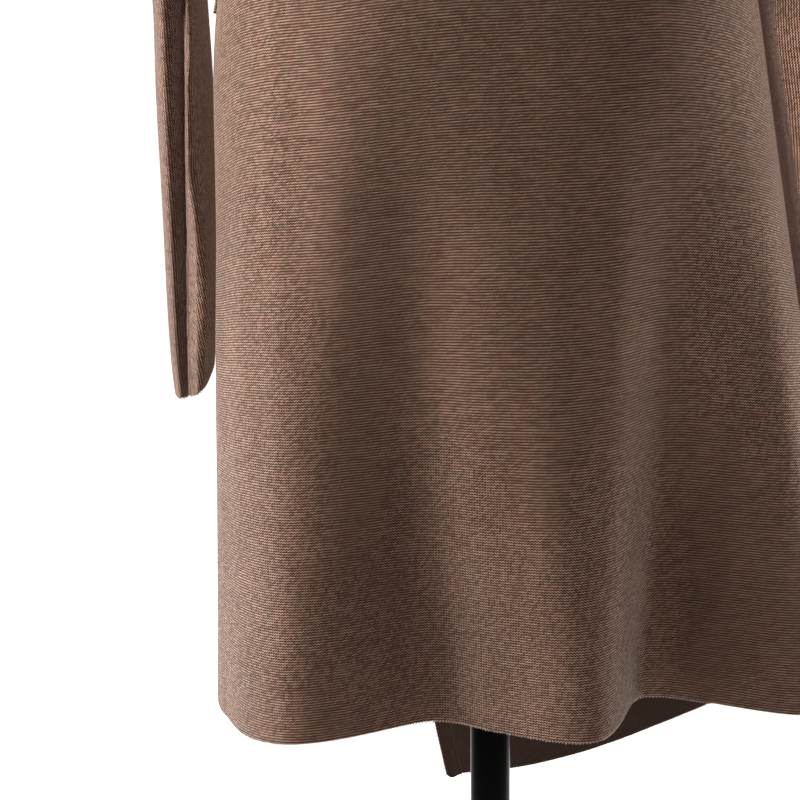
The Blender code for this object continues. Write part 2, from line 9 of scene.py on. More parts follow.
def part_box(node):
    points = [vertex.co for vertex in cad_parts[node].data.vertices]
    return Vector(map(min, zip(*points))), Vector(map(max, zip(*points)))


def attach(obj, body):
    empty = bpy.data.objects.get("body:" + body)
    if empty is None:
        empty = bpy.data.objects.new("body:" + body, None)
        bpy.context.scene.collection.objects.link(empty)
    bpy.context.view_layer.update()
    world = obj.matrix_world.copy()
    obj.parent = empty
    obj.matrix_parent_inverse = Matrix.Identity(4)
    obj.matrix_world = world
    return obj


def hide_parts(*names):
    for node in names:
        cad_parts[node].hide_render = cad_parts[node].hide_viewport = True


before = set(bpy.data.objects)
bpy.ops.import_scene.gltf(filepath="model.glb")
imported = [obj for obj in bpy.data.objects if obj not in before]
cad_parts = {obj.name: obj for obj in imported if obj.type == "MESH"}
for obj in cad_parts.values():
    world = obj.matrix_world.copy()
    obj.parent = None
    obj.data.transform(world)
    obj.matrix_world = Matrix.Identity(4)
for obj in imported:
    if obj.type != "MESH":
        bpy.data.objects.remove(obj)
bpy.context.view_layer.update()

# metres, floor at 0; the front of the dress looks along -Y, the wearer's left is +X
# angles run from the left side seam (0) over the back (90) to the right seam (180) and on round the front
dressShape = {
    "wall": 0.0018,
    "layerStep": 0.0028,      # the wrap lies this far outside the layer below
    "stepBefore": 16.0, "stepTurn": 12.0,     # degrees before the lower layer's edge, and degrees it takes
    "underarm": 1.165,
    "shoulder": 1.352,
    "neck": 1.400,
    "armholeTurn": 26.0, "armholeRound": 0.7,
    "squareness": 2.3,
    "slopeStep": (0.8, 0.002),     # degrees and metres between the points that give the surface its slope
    # height, half-width left, half-width right, depth behind, depth in front
    "rings": [
        (0.360, 0.1750, 0.2420, 0.1500, 0.1220),
        (0.480, 0.1715, 0.2200, 0.1380, 0.1190),
        (0.600, 0.1695, 0.2050, 0.1290, 0.1170),
        (0.700, 0.1685, 0.1915, 0.1230, 0.1160),
        (0.790, 0.1665, 0.1775, 0.1190, 0.1160),
        (0.860, 0.1665, 0.1670, 0.1160, 0.1150),
        (0.920, 0.1625, 0.1575, 0.1100, 0.1100),
        (0.960, 0.1480, 0.1450, 0.1010, 0.1040),
        (1.000, 0.1340, 0.1340, 0.0930, 0.0990),
        (1.080, 0.1390, 0.1390, 0.0940, 0.1080),
        (1.165, 0.1540, 0.1540, 0.1020, 0.1260),
        (1.250, 0.1600, 0.1600, 0.1020, 0.1150),
        (1.320, 0.1760, 0.1760, 0.0900, 0.0900),
        (1.352, 0.1850, 0.1850, 0.0760, 0.0740),
        (1.378, 0.1360, 0.1360, 0.0680, 0.0680),
        (1.400, 0.0850, 0.0850, 0.0620, 0.0640),
    ],
    "foldFoot": 0.480, "foldMost": 1.25, "foldRise": 1.5,     # folds are fully grown at this height
    # angle at the hem, angle at its start, reach to the smaller angle, to the larger, depth, start height
    "folds": [
        (46.0, 48.0, 28.0, 30.0, 0.013, 0.820),
        (81.0, 68.0, 32.0, 24.0, -0.045, 0.900),
        (98.0, 98.0, 22.0, 12.0, 0.008, 0.820),
        (117.0, 125.0, 15.0, 31.0, -0.060, 0.880),
        (154.0, 154.0, 20.0, 22.0, 0.008, 0.800),
        (214.0, 212.0, 24.0, 24.0, -0.016, 0.800),
        (250.0, 250.0, 24.0, 24.0, 0.008, 0.780),
        (302.0, 304.0, 22.0, 22.0, -0.016, 0.780),
        (336.0, 336.0, 20.0, 20.0, 0.006, 0.780),
    ],
    # small creases: angle, height of the middle, half width in degrees, half length, lean in degrees, depth
    "creases": [
        (128.0, 0.560, 4.5, 0.090, 2.0, 0.0016),
        (142.0, 0.640, 7.0, 0.150, 3.0, -0.0020),
        (60.0, 0.775, 9.0, 0.130, 2.0, 0.0022),
        (79.0, 0.770, 9.0, 0.130, 2.0, -0.0034),
        (30.0, 0.700, 6.0, 0.150, 2.0, 0.0012),
        (152.0, 0.680, 14.0, 0.280, 0.0, 0.0040),
        (106.0, 0.770, 10.0, 0.160, 1.0, 0.0026),
        (26.0, 1.060, 9.0, 0.060, 12.0, 0.0016),
        (60.0, 1.050, 8.0, 0.050, 10.0, -0.0014),
        (150.0, 1.060, 9.0, 0.060, -12.0, 0.0016),
        (118.0, 1.045, 8.0, 0.050, -8.0, -0.0012),
        (228.0, 1.120, 7.0, 0.070, 18.0, 0.0018),
        (300.0, 0.900, 6.0, 0.090, -14.0, -0.0018),
        (284.0, 0.840, 6.0, 0.110, -12.0, 0.0014),
        (318.0, 0.880, 5.0, 0.080, -8.0, 0.0014),
        (206.0, 1.060, 6.0, 0.050, -10.0, -0.0014),
        (262.0, 1.070, 7.0, 0.060, 20.0, -0.0014),
    ],
    # painted shade, darkening the knit's colour in the deep parts of the folds: angle, height, half width,
    # half length, amount
    "paintedHollows": [(70.0, 0.600, 9.0, 0.170, 0.30), (127.0, 0.560, 9.0, 0.110, 0.38)],
    # height of the hem, angle by angle
    "backHem": [
        (0.0, 0.4820), (20.0, 0.4830), (42.0, 0.4850), (62.0, 0.4890), (81.0, 0.4925),
        (98.0, 0.4935), (117.0, 0.5000), (152.0, 0.4920), (180.0, 0.4900),
    ],
    "overHem": [
        (180.0, 0.4900), (200.0, 0.4800), (222.0, 0.4580), (237.0, 0.4335), (245.0, 0.4195),
        (254.0, 0.4045), (262.0, 0.3940), (272.0, 0.3855), (280.0, 0.3825),
    ],
    "underHem": [(236.0, 0.500), (270.0, 0.500), (310.0, 0.494), (360.0, 0.482)],
    # height, angle of the upper layer's free edge, angle of the lower layer's free edge
    "wrapEdges": [
        (0.360, 275.5, 252.0), (0.500, 284.5, 247.0), (0.700, 298.5, 238.0),
        (0.860, 311.0, 229.0), (1.000, 327.0, 215.0), (1.080, 306.0, 235.0),
        (1.165, 286.0, 254.0), (1.250, 272.0, 268.0), (1.320, 260.0, 280.0),
        (1.352, 252.0, 288.0), (1.378, 236.0, 304.0), (1.400, 186.0, 354.0),
    ],
    "bandWidth": 0.006,
    "cornerHeight": 0.3825,
    "bandDrop": 0.003,
}


def smooth(value):
    value = np.clip(value, 0.0, 1.0)
    return value * value * (3.0 - 2.0 * value)


def unit(vectors):
    return vectors / np.linalg.norm(vectors, axis=-1, keepdims=True)


def signedPower(value, power):
    return np.sign(value) * np.abs(value) ** power


def curveThrough(rows, at, column):
    # a smooth curve through the rows of a table that never swings past them
    xs = np.array([row[0] for row in rows], float)
    ys = np.array([row[column] for row in rows], float)
    rise = np.diff(ys) / np.diff(xs)
    slope = np.empty(len(xs))
    slope[0], slope[-1] = rise[0], rise[-1]
    product = rise[:-1] * rise[1:]
    total = rise[:-1] + rise[1:]
    slope[1:-1] = np.where(product > 0.0, 2.0 * product / np.where(total == 0.0, 1.0, total), 0.0)
    at = np.clip(np.asarray(at, float), xs[0], xs[-1])
    low = np.clip(np.searchsorted(xs, at, side="right") - 1, 0, len(xs) - 2)
    span = xs[low + 1] - xs[low]
    t = (at - xs[low]) / span
    t2, t3 = t * t, t * t * t
    return (
        (2 * t3 - 3 * t2 + 1) * ys[low] + (t3 - 2 * t2 + t) * span * slope[low]
        + (3 * t2 - 2 * t3) * ys[low + 1] + (t3 - t2) * span * slope[low + 1]
    )


def ringAt(z, column):
    return curveThrough(dressShape["rings"], z, column)


def ringSizes(angle, z):
    turn = np.radians(angle)
    half = np.where(np.cos(turn) >= 0.0, ringAt(z, 1), ringAt(z, 2))
    deep = np.where(np.sin(turn) >= 0.0, ringAt(z, 3), ringAt(z, 4))
    return turn, half, deep


def basePoints(angle, z):
    turn, half, deep = ringSizes(angle, z)
    c, s = np.cos(turn), np.sin(turn)
    power = 2.0 / dressShape["squareness"]
    return np.stack((signedPower(c, power) * half, signedPower(s, power) * deep, z + 0.0 * c), -1)


def foldDepth(angle, z):
    total = np.zeros(np.broadcast(angle, z).shape)
    for atHem, atTop, less, more, depth, start in dressShape["folds"]:
        grown = np.clip((start - z) / (start - dressShape["foldFoot"]), 0.0, dressShape["foldMost"])
        away = angle - (atTop + (atHem - atTop) * np.minimum(1.0, grown))
        bell = np.cos(0.5 * np.pi * np.clip(away / np.where(away < 0.0, less, more), -1.0, 1.0)) ** 2
        total += depth * grown ** dressShape["foldRise"] * bell
    return total


def creaseDepth(angle, z):
    total = np.zeros(np.broadcast(angle, z).shape)
    for middle, height, width, length, lean, depth in dressShape["creases"]:
        along = (z - height) / length
        away = (angle - middle - lean * along) / width
        total += depth * np.exp(-away * away) * np.exp(-1.6 * along * along)
    return total


# painted shade for the deep folds: how much the knit's colour is darkened at each point
def foldShade(angle, z):
    total = np.zeros(np.broadcast(angle, z).shape)
    for middle, height, width, length, amount in dressShape["paintedHollows"]:
        total += amount * np.exp(-((angle - middle) / width) ** 2 - ((z - height) / length) ** 2)
    return total


def foldedPoints(angle, z):
    point = basePoints(angle, z)
    _, half, deep = ringSizes(angle, z)
    outward = unit(np.stack((point[..., 0] / half ** 2, point[..., 1] / deep ** 2, 0.0 * half), -1))
    return point + outward * (foldDepth(angle, z) + creaseDepth(angle, z))[..., None]


def surfaceNormals(angle, z, shape=foldedPoints):
    turn, drop = dressShape["slopeStep"]
    across = shape(angle + turn, z) - shape(angle - turn, z)
    down = shape(angle, z - drop) - shape(angle, z + drop)
    return unit(np.cross(down, across))


def dressPoints(angle, z, outside=0.0):
    return foldedPoints(angle, z) + surfaceNormals(angle, z) * np.asarray(outside)[..., None]


def wrapLift(angle, z):
    # the upper layer steps out where it lies over the lower one
    past = angle - curveThrough(dressShape["wrapEdges"], z, 2) + dressShape["stepBefore"]
    return dressShape["layerStep"] * smooth(past / dressShape["stepTurn"])


def armholeAngle(z):
    low, high = dressShape["underarm"], dressShape["shoulder"]
    share = np.clip((z - low) / (high - low), 0.0, 1.0)
    return dressShape["armholeTurn"] * np.sin(np.pi * share) ** dressShape["armholeRound"]


# helpers for nodes, materials and meshes
def startLook(name):
    made = bpy.data.materials.new(name)
    made.use_nodes = True
    tree = made.node_tree
    shader = tree.nodes["Principled BSDF"]
    shader.location = (900, 0)
    tree.nodes["Material Output"].location = (1200, 0)
    return made, tree, shader


def feed(tree, node, inputs):
    # a number, colour or name is set on its socket, and an output of another node is linked to it
    for label, value in inputs.items():
        if isinstance(value, (int, float, tuple, str)):
            node.inputs[label].default_value = value
        else:
            tree.links.new(value, node.inputs[label])


def nodeOf(tree, kind, inputs, output=0, **settings):
    node = tree.nodes.new(kind)
    for label, value in settings.items():
        setattr(node, label, value)
    feed(tree, node, inputs)
    return node.outputs[output]


def sums(tree, operation, a, b=0.0, c=None, clamp=False):
    inputs = {0: a, 1: b} if c is None else {0: a, 1: b, 2: c}
    return nodeOf(tree, "ShaderNodeMath", inputs, operation=operation, use_clamp=clamp)


def waveOf(tree, kind, turns):
    return sums(tree, kind, sums(tree, "MULTIPLY", turns, 2.0 * math.pi))


def noiseOf(tree, vector, scale, detail=2.0, roughness=0.5):
    sizes = {"Vector": vector, "Scale": scale, "Detail": detail, "Roughness": roughness}
    return nodeOf(tree, "ShaderNodeTexNoise", sizes, "Fac")


def spread(tree, value, fromLow, fromHigh, toLow, toHigh):
    ends = {"From Min": fromLow, "From Max": fromHigh, "To Min": toLow, "To Max": toHigh}
    return nodeOf(tree, "ShaderNodeMapRange", dict(ends, Value=value), "Result")


def blendOf(tree, factor, a, b, kind="MIX"):
    return nodeOf(tree, "ShaderNodeMix", {0: factor, 6: a, 7: b}, 2, data_type="RGBA", blend_type=kind)


def bumpOf(tree, height, distance, strength):
    inputs = {"Height": height, "Distance": distance, "Strength": strength}
    return nodeOf(tree, "ShaderNodeBump", inputs, "Normal")


def placeOf(tree, kind="Object"):
    return nodeOf(tree, "ShaderNodeTexCoord", {}, kind)


def splitOf(tree, vector):
    node = tree.nodes.new("ShaderNodeSeparateXYZ")
    tree.links.new(vector, node.inputs[0])
    return node.outputs


def vectorOf(tree, x=0.0, y=0.0, z=0.0):
    return nodeOf(tree, "ShaderNodeCombineXYZ", {0: x, 1: y, 2: z})


def knitLook(name, knit):
    # courses and stitches follow the piece's own plan, a UV map in metres
    made, tree, shader = startLook(name)
    plan = nodeOf(tree, "ShaderNodeUVMap", {}, "UV", uv_map="knitPlan")
    split = splitOf(tree, plan)
    across, along = split[1 if knit["turned"] else 0], split[0 if knit["turned"] else 1]
    drift = noiseOf(tree, plan, knit["driftScale"])
    along = sums(tree, "MULTIPLY_ADD", drift, knit["drift"], along)
    stitch = sums(tree, "DIVIDE", across, knit["stitchWidth"])
    stitch = sums(tree, "MULTIPLY_ADD", drift, knit["columnDrift"], stitch)
    swing = sums(tree, "MULTIPLY", waveOf(tree, "SINE", stitch), knit["swing"])
    course = sums(tree, "ADD", sums(tree, "DIVIDE", along, knit["courseHeight"]), swing)
    ridge = sums(tree, "MULTIPLY_ADD", waveOf(tree, "SINE", course), 0.5, 0.5)
    # one loop of yarn is one cell, and each has its own tone
    cell = vectorOf(tree, sums(tree, "FLOOR", stitch), sums(tree, "FLOOR", sums(tree, "ADD", course, 0.25)))
    loopTone = nodeOf(tree, "ShaderNodeTexWhiteNoise", {"Vector": cell}, "Value", noise_dimensions="2D")
    fibre = noiseOf(tree, plan, knit["fibreScale"], 2.0, 0.7)
    patch = noiseOf(tree, plan, knit["patchScale"], 2.0, 0.6)
    cloud = noiseOf(tree, plan, knit["cloudScale"], 3.0, 0.55)
    stretched = nodeOf(tree, "ShaderNodeMapping", {"Scale": knit["streakScale"], "Vector": plan})
    streak = noiseOf(tree, stretched, 1.0)
    relief = sums(tree, "MULTIPLY", ridge, spread(tree, loopTone, 0.0, 1.0, 0.65, 1.0))
    relief = sums(tree, "MULTIPLY_ADD", fibre, knit["fuzz"], relief)
    # shade is 1 on a crest in full light and 0 between the courses
    shade = spread(tree, ridge, *knit["crest"], 0.0, 1.0)
    loopShade = spread(tree, loopTone, 0.0, 1.0, 1.0 - knit["loopVariation"], 1.0)
    shade = sums(tree, "MULTIPLY", shade, loopShade)
    shade = sums(tree, "MULTIPLY", shade, spread(tree, fibre, 0.25, 0.75, *knit["fibreShade"]), clamp=True)
    column = waveOf(tree, "COSINE", stitch)
    shade = sums(tree, "MULTIPLY", shade, spread(tree, column, -1.0, 1.0, 1.0 - knit["columnDepth"], 1.0))
    # painted shade: a per-point amount darkens the knit's colour and sheen in the deep folds and the sleeve
    # valleys
    paintedShade = nodeOf(tree, "ShaderNodeAttribute", {}, "Fac", attribute_name="paintedShade")
    shade = sums(tree, "MULTIPLY", shade, sums(tree, "SUBTRACT", 1.0, paintedShade))
    yarn = blendOf(tree, spread(tree, patch, 0.38, 0.62, 0.0, 1.0), knit["yarn"], knit["warmYarn"])
    tone = sums(tree, "MULTIPLY", spread(tree, cloud, 0.3, 0.7, *knit["toneRange"]),
                spread(tree, streak, 0.3, 0.7, *knit["toneRange"]))
    colour = blendOf(tree, shade, knit["valley"], yarn)
    feed(tree, shader, {
        "Base Color": blendOf(tree, 1.0, colour, vectorOf(tree, tone, tone, tone), "MULTIPLY"),
        "Normal": bumpOf(tree, relief, knit["relief"], 1.0),
        "Roughness": knit["roughness"], "Specular IOR Level": knit["specular"],
        # the fuzz stands on the crests, so the sheen is faint between them
        "Sheen Weight": spread(tree, shade, 0.0, 0.8, 0.12 * knit["sheen"], knit["sheen"]),
        "Sheen Roughness": knit["sheenRoughness"], "Sheen Tint": knit["sheenTint"],
    })
    return made


knitSettings = {
    "courseHeight": 0.00164, "stitchWidth": 0.00175, "swing": 0.21, "turned": False,
    "drift": 0.0012, "driftScale": 42.0, "columnDrift": 0.9,     # how unevenly the rows and columns run
    "relief": 0.00060, "fuzz": 0.45, "crest": (0.50, 0.74), "columnDepth": 0.20,
    "loopVariation": 0.55, "fibreShade": (0.72, 1.12), "toneRange": (0.93, 1.07),
    "fibreScale": 1500.0, "patchScale": 95.0, "cloudScale": 16.0, "streakScale": (60.0, 5.0, 1.0),
    "yarn": (0.600, 0.370, 0.270, 1.0), "warmYarn": (0.625, 0.350, 0.244, 1.0),
    "valley": (0.016, 0.0045, 0.0018, 1.0), "roughness": 0.92, "specular": 0.08,
    "sheen": 1.00, "sheenRoughness": 0.28, "sheenTint": (1.0, 0.90, 0.82, 1.0),
}
# the wrong side of the same yarn, made far darker than the outside and nearly without sheen: painted shade
# for the inside faces
shadedInsideSettings = dict(
    knitSettings, courseHeight=0.0017, stitchWidth=0.0020, swing=0.05, relief=0.00020, turned=True,
    crest=(-1.6, 1.1), loopVariation=0.40, streakScale=(5.0, 60.0, 1.0),
    yarn=(0.050, 0.029, 0.0213, 1.0), warmYarn=(0.052, 0.0285, 0.0200, 1.0),
    valley=(0.026, 0.0143, 0.0100, 1.0), columnDepth=0.10, sheen=0.05,
)
edgeSettings = dict(
    knitSettings, courseHeight=0.0015, yarn=(0.440, 0.286, 0.216, 1.0), crest=(0.0, 1.0), loopVariation=0.3,
    valley=(0.130, 0.078, 0.055, 1.0), warmYarn=(0.460, 0.286, 0.212, 1.0), sheen=0.40,
)

knitOutside = knitLook("knitOutside", knitSettings)
knitInside = knitLook("knitInside", shadedInsideSettings)
knitEdge = knitLook("knitEdge", edgeSettings)
print("knit materials ready")


def gridMesh(name, points, plan, closed=False, paintedShade=None):
    # rows run down and columns across, seen from outside; plan holds the UV of each grid point
    rows, columns = points.shape[0], points.shape[1]
    wide = columns - 1 if closed else columns
    kept = points[:, :wide].reshape(-1, 3)
    row, column = np.meshgrid(np.arange(rows - 1), np.arange(columns - 1), indexing="ij")
    nextColumn = (column + 1) % wide if closed else column + 1
    faces = np.stack((row * wide + column, (row + 1) * wide + column,
                      (row + 1) * wide + nextColumn, row * wide + nextColumn), -1).reshape(-1, 4)
    corners = np.stack((plan[:-1, :-1], plan[1:, :-1], plan[1:, 1:], plan[:-1, 1:]), 2).reshape(-1, 2)
    mesh = bpy.data.meshes.new(name)
    mesh.from_pydata(kept.tolist(), [], faces.tolist())
    layer = mesh.uv_layers.new(name="knitPlan")
    layer.data.foreach_set("uv", corners.astype(np.float32).ravel())
    # an optional per-point amount of painted shade, read by the knit material
    if paintedShade is not None:
        depth = mesh.attributes.new("paintedShade", "FLOAT", "POINT")
        depth.data.foreach_set("value", paintedShade[:, :wide].astype(np.float32).ravel())
    mesh.shade_smooth()
    return mesh


def addPiece(name, mesh, *looks):
    made = bpy.data.objects.new(name, mesh)
    bpy.context.scene.collection.objects.link(made)
    for look in looks:
        mesh.materials.append(look)
    return made


def clothShell(name, points, plan, closed=False, looks=None, paintedShade=None):
    mesh = gridMesh(name, points, plan, closed, paintedShade)
    made = addPiece(name, mesh, *(looks or (knitOutside, knitInside, knitEdge)))
    shell = made.modifiers.new("Wall", "SOLIDIFY")
    shell.thickness = dressShape["wall"]
    shell.offset = -1.0
    shell.use_rim = True
    shell.material_offset = 1
    shell.material_offset_rim = 2
    return plainCopy(made)


def plainCopy(made):
    # the evaluated shape as a plain mesh, with no modifier left on the piece
    bpy.context.view_layer.update()
    graph = bpy.context.evaluated_depsgraph_get()
    settled = bpy.data.meshes.new_from_object(
        made.evaluated_get(graph), preserve_all_data_layers=True, depsgraph=graph)
    made.modifiers.clear()
    made.data = settled
    settled.name = made.name
    return made


def finishPiece(made, slot, *nodes):
    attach(made, "root")
    if nodes:
        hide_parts(*nodes)
    return made


def lengthsAcross(points, middle):
    # distance along each row from the middle column
    step = np.linalg.norm(np.diff(points, axis=1), axis=2)
    run = np.concatenate((np.zeros((points.shape[0], 1)), np.cumsum(step, axis=1)), 1)
    return run - run[:, middle:middle + 1]


def lengthsDown(points, column):
    # distance down one column from the first row
    return np.concatenate(([0.0], np.cumsum(np.linalg.norm(np.diff(points[:, column], axis=0), axis=1))))


# the dress: back, two fronts and the knitted edge
panelGrid = {
    "backColumns": 168, "overColumns": 104, "underColumns": 84, "bandColumns": 7,
    "edgeSteps": (0.0, 0.0030, 0.0080, 0.0160),   # close columns that roll the seam edge in
    "seamRoll": 0.0006, "seamGap": 0.00012, "seamRadius": 0.11,
    "waist": 1.000, "hip": 0.845, "shoulderRows": 16, "bodiceRows": 46, "hipRows": 20, "skirtRows": 100,
    "underarmRows": (0.0, 0.0004, 0.0012, 0.0025, 0.0042, 0.0062),
    "lastStep": 0.35,        # the row above the hem stands this share of a step away from it
    "neckDip": 0.010, "dipFrom": 1.35, "dipOver": 0.05,
    "bandOverlap": 1.07, "bandCrown": (0.0001, 0.0003),
    "sideRadius": 0.120,     # keeps the columns of stitches straight where the armhole cuts in
    "courseDroop": [   # how far a course hangs below level towards the side seams, by angle
        (0.0, 0.036), (15.0, 0.025), (35.0, 0.011), (60.0, 0.003), (88.0, -0.006),
        (110.0, -0.009), (122.0, -0.010), (140.0, -0.005), (160.0, 0.008), (180.0, 0.026),
    ],
    "droopTop": 0.860, "droopFoot": 0.560, "hemLevel": 0.4935,
    "finerFrom": 0.90, "finerBelow": 0.09,     # courses lie closer towards the hem
}


def columnShares(count):
    close = np.array(panelGrid["edgeSteps"])
    middle = np.linspace(close[-1], 1.0 - close[-1], count - 2 * len(close) + 3)[1:-1]
    return np.concatenate((close, middle, 1.0 - close[::-1]))


def bodiceHeights():
    # even rows, with close ones where the armhole opens at the underarm
    even = np.linspace(dressShape["shoulder"], panelGrid["waist"], panelGrid["bodiceRows"])[:-1]
    close = dressShape["underarm"] + np.array(panelGrid["underarmRows"])
    return np.sort(np.concatenate((even, close)))[::-1]


def rowHeights(hem, neckDip=0.0):
    # even rows for shoulder, bodice and hip, then even steps to the hem, closer at the edge
    upper = np.concatenate((
        np.linspace(dressShape["neck"], dressShape["shoulder"], panelGrid["shoulderRows"])[:-1],
        bodiceHeights(),
        np.linspace(panelGrid["waist"], panelGrid["hip"], panelGrid["hipRows"])))[:, None]
    upper = upper - neckDip * np.maximum(0.0, (upper - panelGrid["dipFrom"]) / panelGrid["dipOver"]) ** 2
    steps = np.linspace(0.0, 1.0, panelGrid["skirtRows"])[1:]
    steps = np.concatenate((steps[:-1], [1.0 - panelGrid["lastStep"] * (steps[-1] - steps[-2]), 1.0]))
    lower = panelGrid["hip"] + (hem[None, :] - panelGrid["hip"]) * steps[:, None]
    return np.concatenate((upper + 0.0 * hem[None, :], lower), 0)


def seamRoll(shares, atStart, atEnd):
    # the last millimetres turn in where two panels are linked
    near = np.minimum(shares if atStart else 1.0, 1.0 - shares if atEnd else 1.0)
    return -panelGrid["seamRoll"] * np.clip(1.0 - near / panelGrid["edgeSteps"][-1], 0.0, 1.0) ** 2


def seamStart(z):
    # how far past the side seam's angle a panel starts
    return np.degrees(panelGrid["seamGap"] / panelGrid["seamRadius"]) + armholeAngle(z)


def coursePlan(points, z, middle, sideways, above=0.0):
    # courses hang from the side seams near the hip and follow the hem lower down
    droop = curveThrough(panelGrid["courseDroop"], sideways, 1)
    foot = smooth((z - panelGrid["droopFoot"]) / (panelGrid["droopTop"] - panelGrid["droopFoot"]))
    finer = panelGrid["finerBelow"] * np.maximum(0.0, panelGrid["finerFrom"] - z) ** 2
    along = z - finer + foot * droop + (1.0 - foot) * above
    return np.stack((lengthsAcross(points, middle), along), -1)


def makeBack():
    shares = columnShares(panelGrid["backColumns"])
    hem = curveThrough(dressShape["backHem"], 180.0 * shares, 1)
    z = rowHeights(hem, panelGrid["neckDip"] * np.sin(np.pi * shares)[None, :] ** 2)
    start = seamStart(z)
    angle = start + (180.0 - 2.0 * start) * shares
    points = dressPoints(angle, z, seamRoll(shares, True, True) + 0.0 * z)
    plan = coursePlan(points, z, len(shares) // 2, angle, panelGrid["hemLevel"] - hem[None, :])
    return points, plan, foldShade(angle, z)


def overEdge(z):
    return curveThrough(dressShape["wrapEdges"], z, 1)


def bandTurn(z):
    # width of the knitted edge as an angle; it runs out to nothing at the neck point
    share = 0.25 + 0.75 * np.clip((dressShape["neck"] - z) / 0.03, 0.0, 1.0)
    return np.degrees(dressShape["bandWidth"] * share / ringAt(z, 4))


def makeOverFront():
    shares = columnShares(panelGrid["overColumns"])
    z = rowHeights(curveThrough(dressShape["overHem"], 180.0 + 99.0 * shares, 1))
    start = 180.0 + seamStart(z)
    angle = start + (overEdge(z) - bandTurn(z) - start) * shares
    points = dressPoints(angle, z, wrapLift(angle, z) + seamRoll(shares, True, False))
    plan = coursePlan(points, z, 0, 360.0 - angle)
    plan[..., 0] += np.radians(armholeAngle(z)) * panelGrid["sideRadius"]
    return points, plan


def makeUnderFront():
    shares = columnShares(panelGrid["underColumns"])
    z = rowHeights(curveThrough(dressShape["underHem"], 248.0 + 112.0 * shares, 1))
    start = 360.0 - seamStart(z)
    angle = start + (curveThrough(dressShape["wrapEdges"], z, 2) - start) * (1.0 - shares)
    points = dressPoints(angle, z, seamRoll(shares, False, True) + 0.0 * z)
    plan = coursePlan(points, z, len(shares) - 1, 360.0 - angle)
    plan[..., 0] -= np.radians(armholeAngle(z)) * panelGrid["sideRadius"]
    return points, plan


def makeEdgeBand():
    shares = np.linspace(0.0, 1.0, panelGrid["bandColumns"])
    lobe = 0.1 + 0.9 * np.sin(2.9 * shares ** 1.6)     # the low corner is rounded off
    z = rowHeights(dressShape["cornerHeight"] - dressShape["bandDrop"] * lobe)
    angle = overEdge(z) - bandTurn(z) * panelGrid["bandOverlap"] * (1.0 - shares)
    low, rise = panelGrid["bandCrown"]
    points = dressPoints(angle, z, wrapLift(angle, z) + low + rise * np.sin(np.pi * shares) ** 2)
    plan = np.stack((lengthsDown(points, 2)[:, None] + 0.0 * z, lengthsAcross(points, 0)), -1)
    return points, plan, surfaceNormals(angle[:, -1], z[:, -1])


backPoints, backPlan, backShade = makeBack()
overPoints, overPlan = makeOverFront()
underPoints, underPlan = makeUnderFront()
bandPoints, bandPlan, bandOut = makeEdgeBand()
dressBack = clothShell("dressBack", backPoints, backPlan, paintedShade=backShade)
dressFrontRight = clothShell("dressFrontRight", overPoints, overPlan)
dressFrontLeft = clothShell("dressFrontLeft", underPoints, underPlan)
frontEdge = clothShell("frontEdge", bandPoints, bandPlan, looks=(knitEdge, knitInside, knitEdge))
finishPiece(dressBack, "knit", "dress_back")
finishPiece(dressFrontRight, "knit", "dress_front_right")
finishPiece(dressFrontLeft, "knit", "dress_front_left")
finishPiece(frontEdge, "knit_edge", "front_edge_band")
print("dress panels laid")


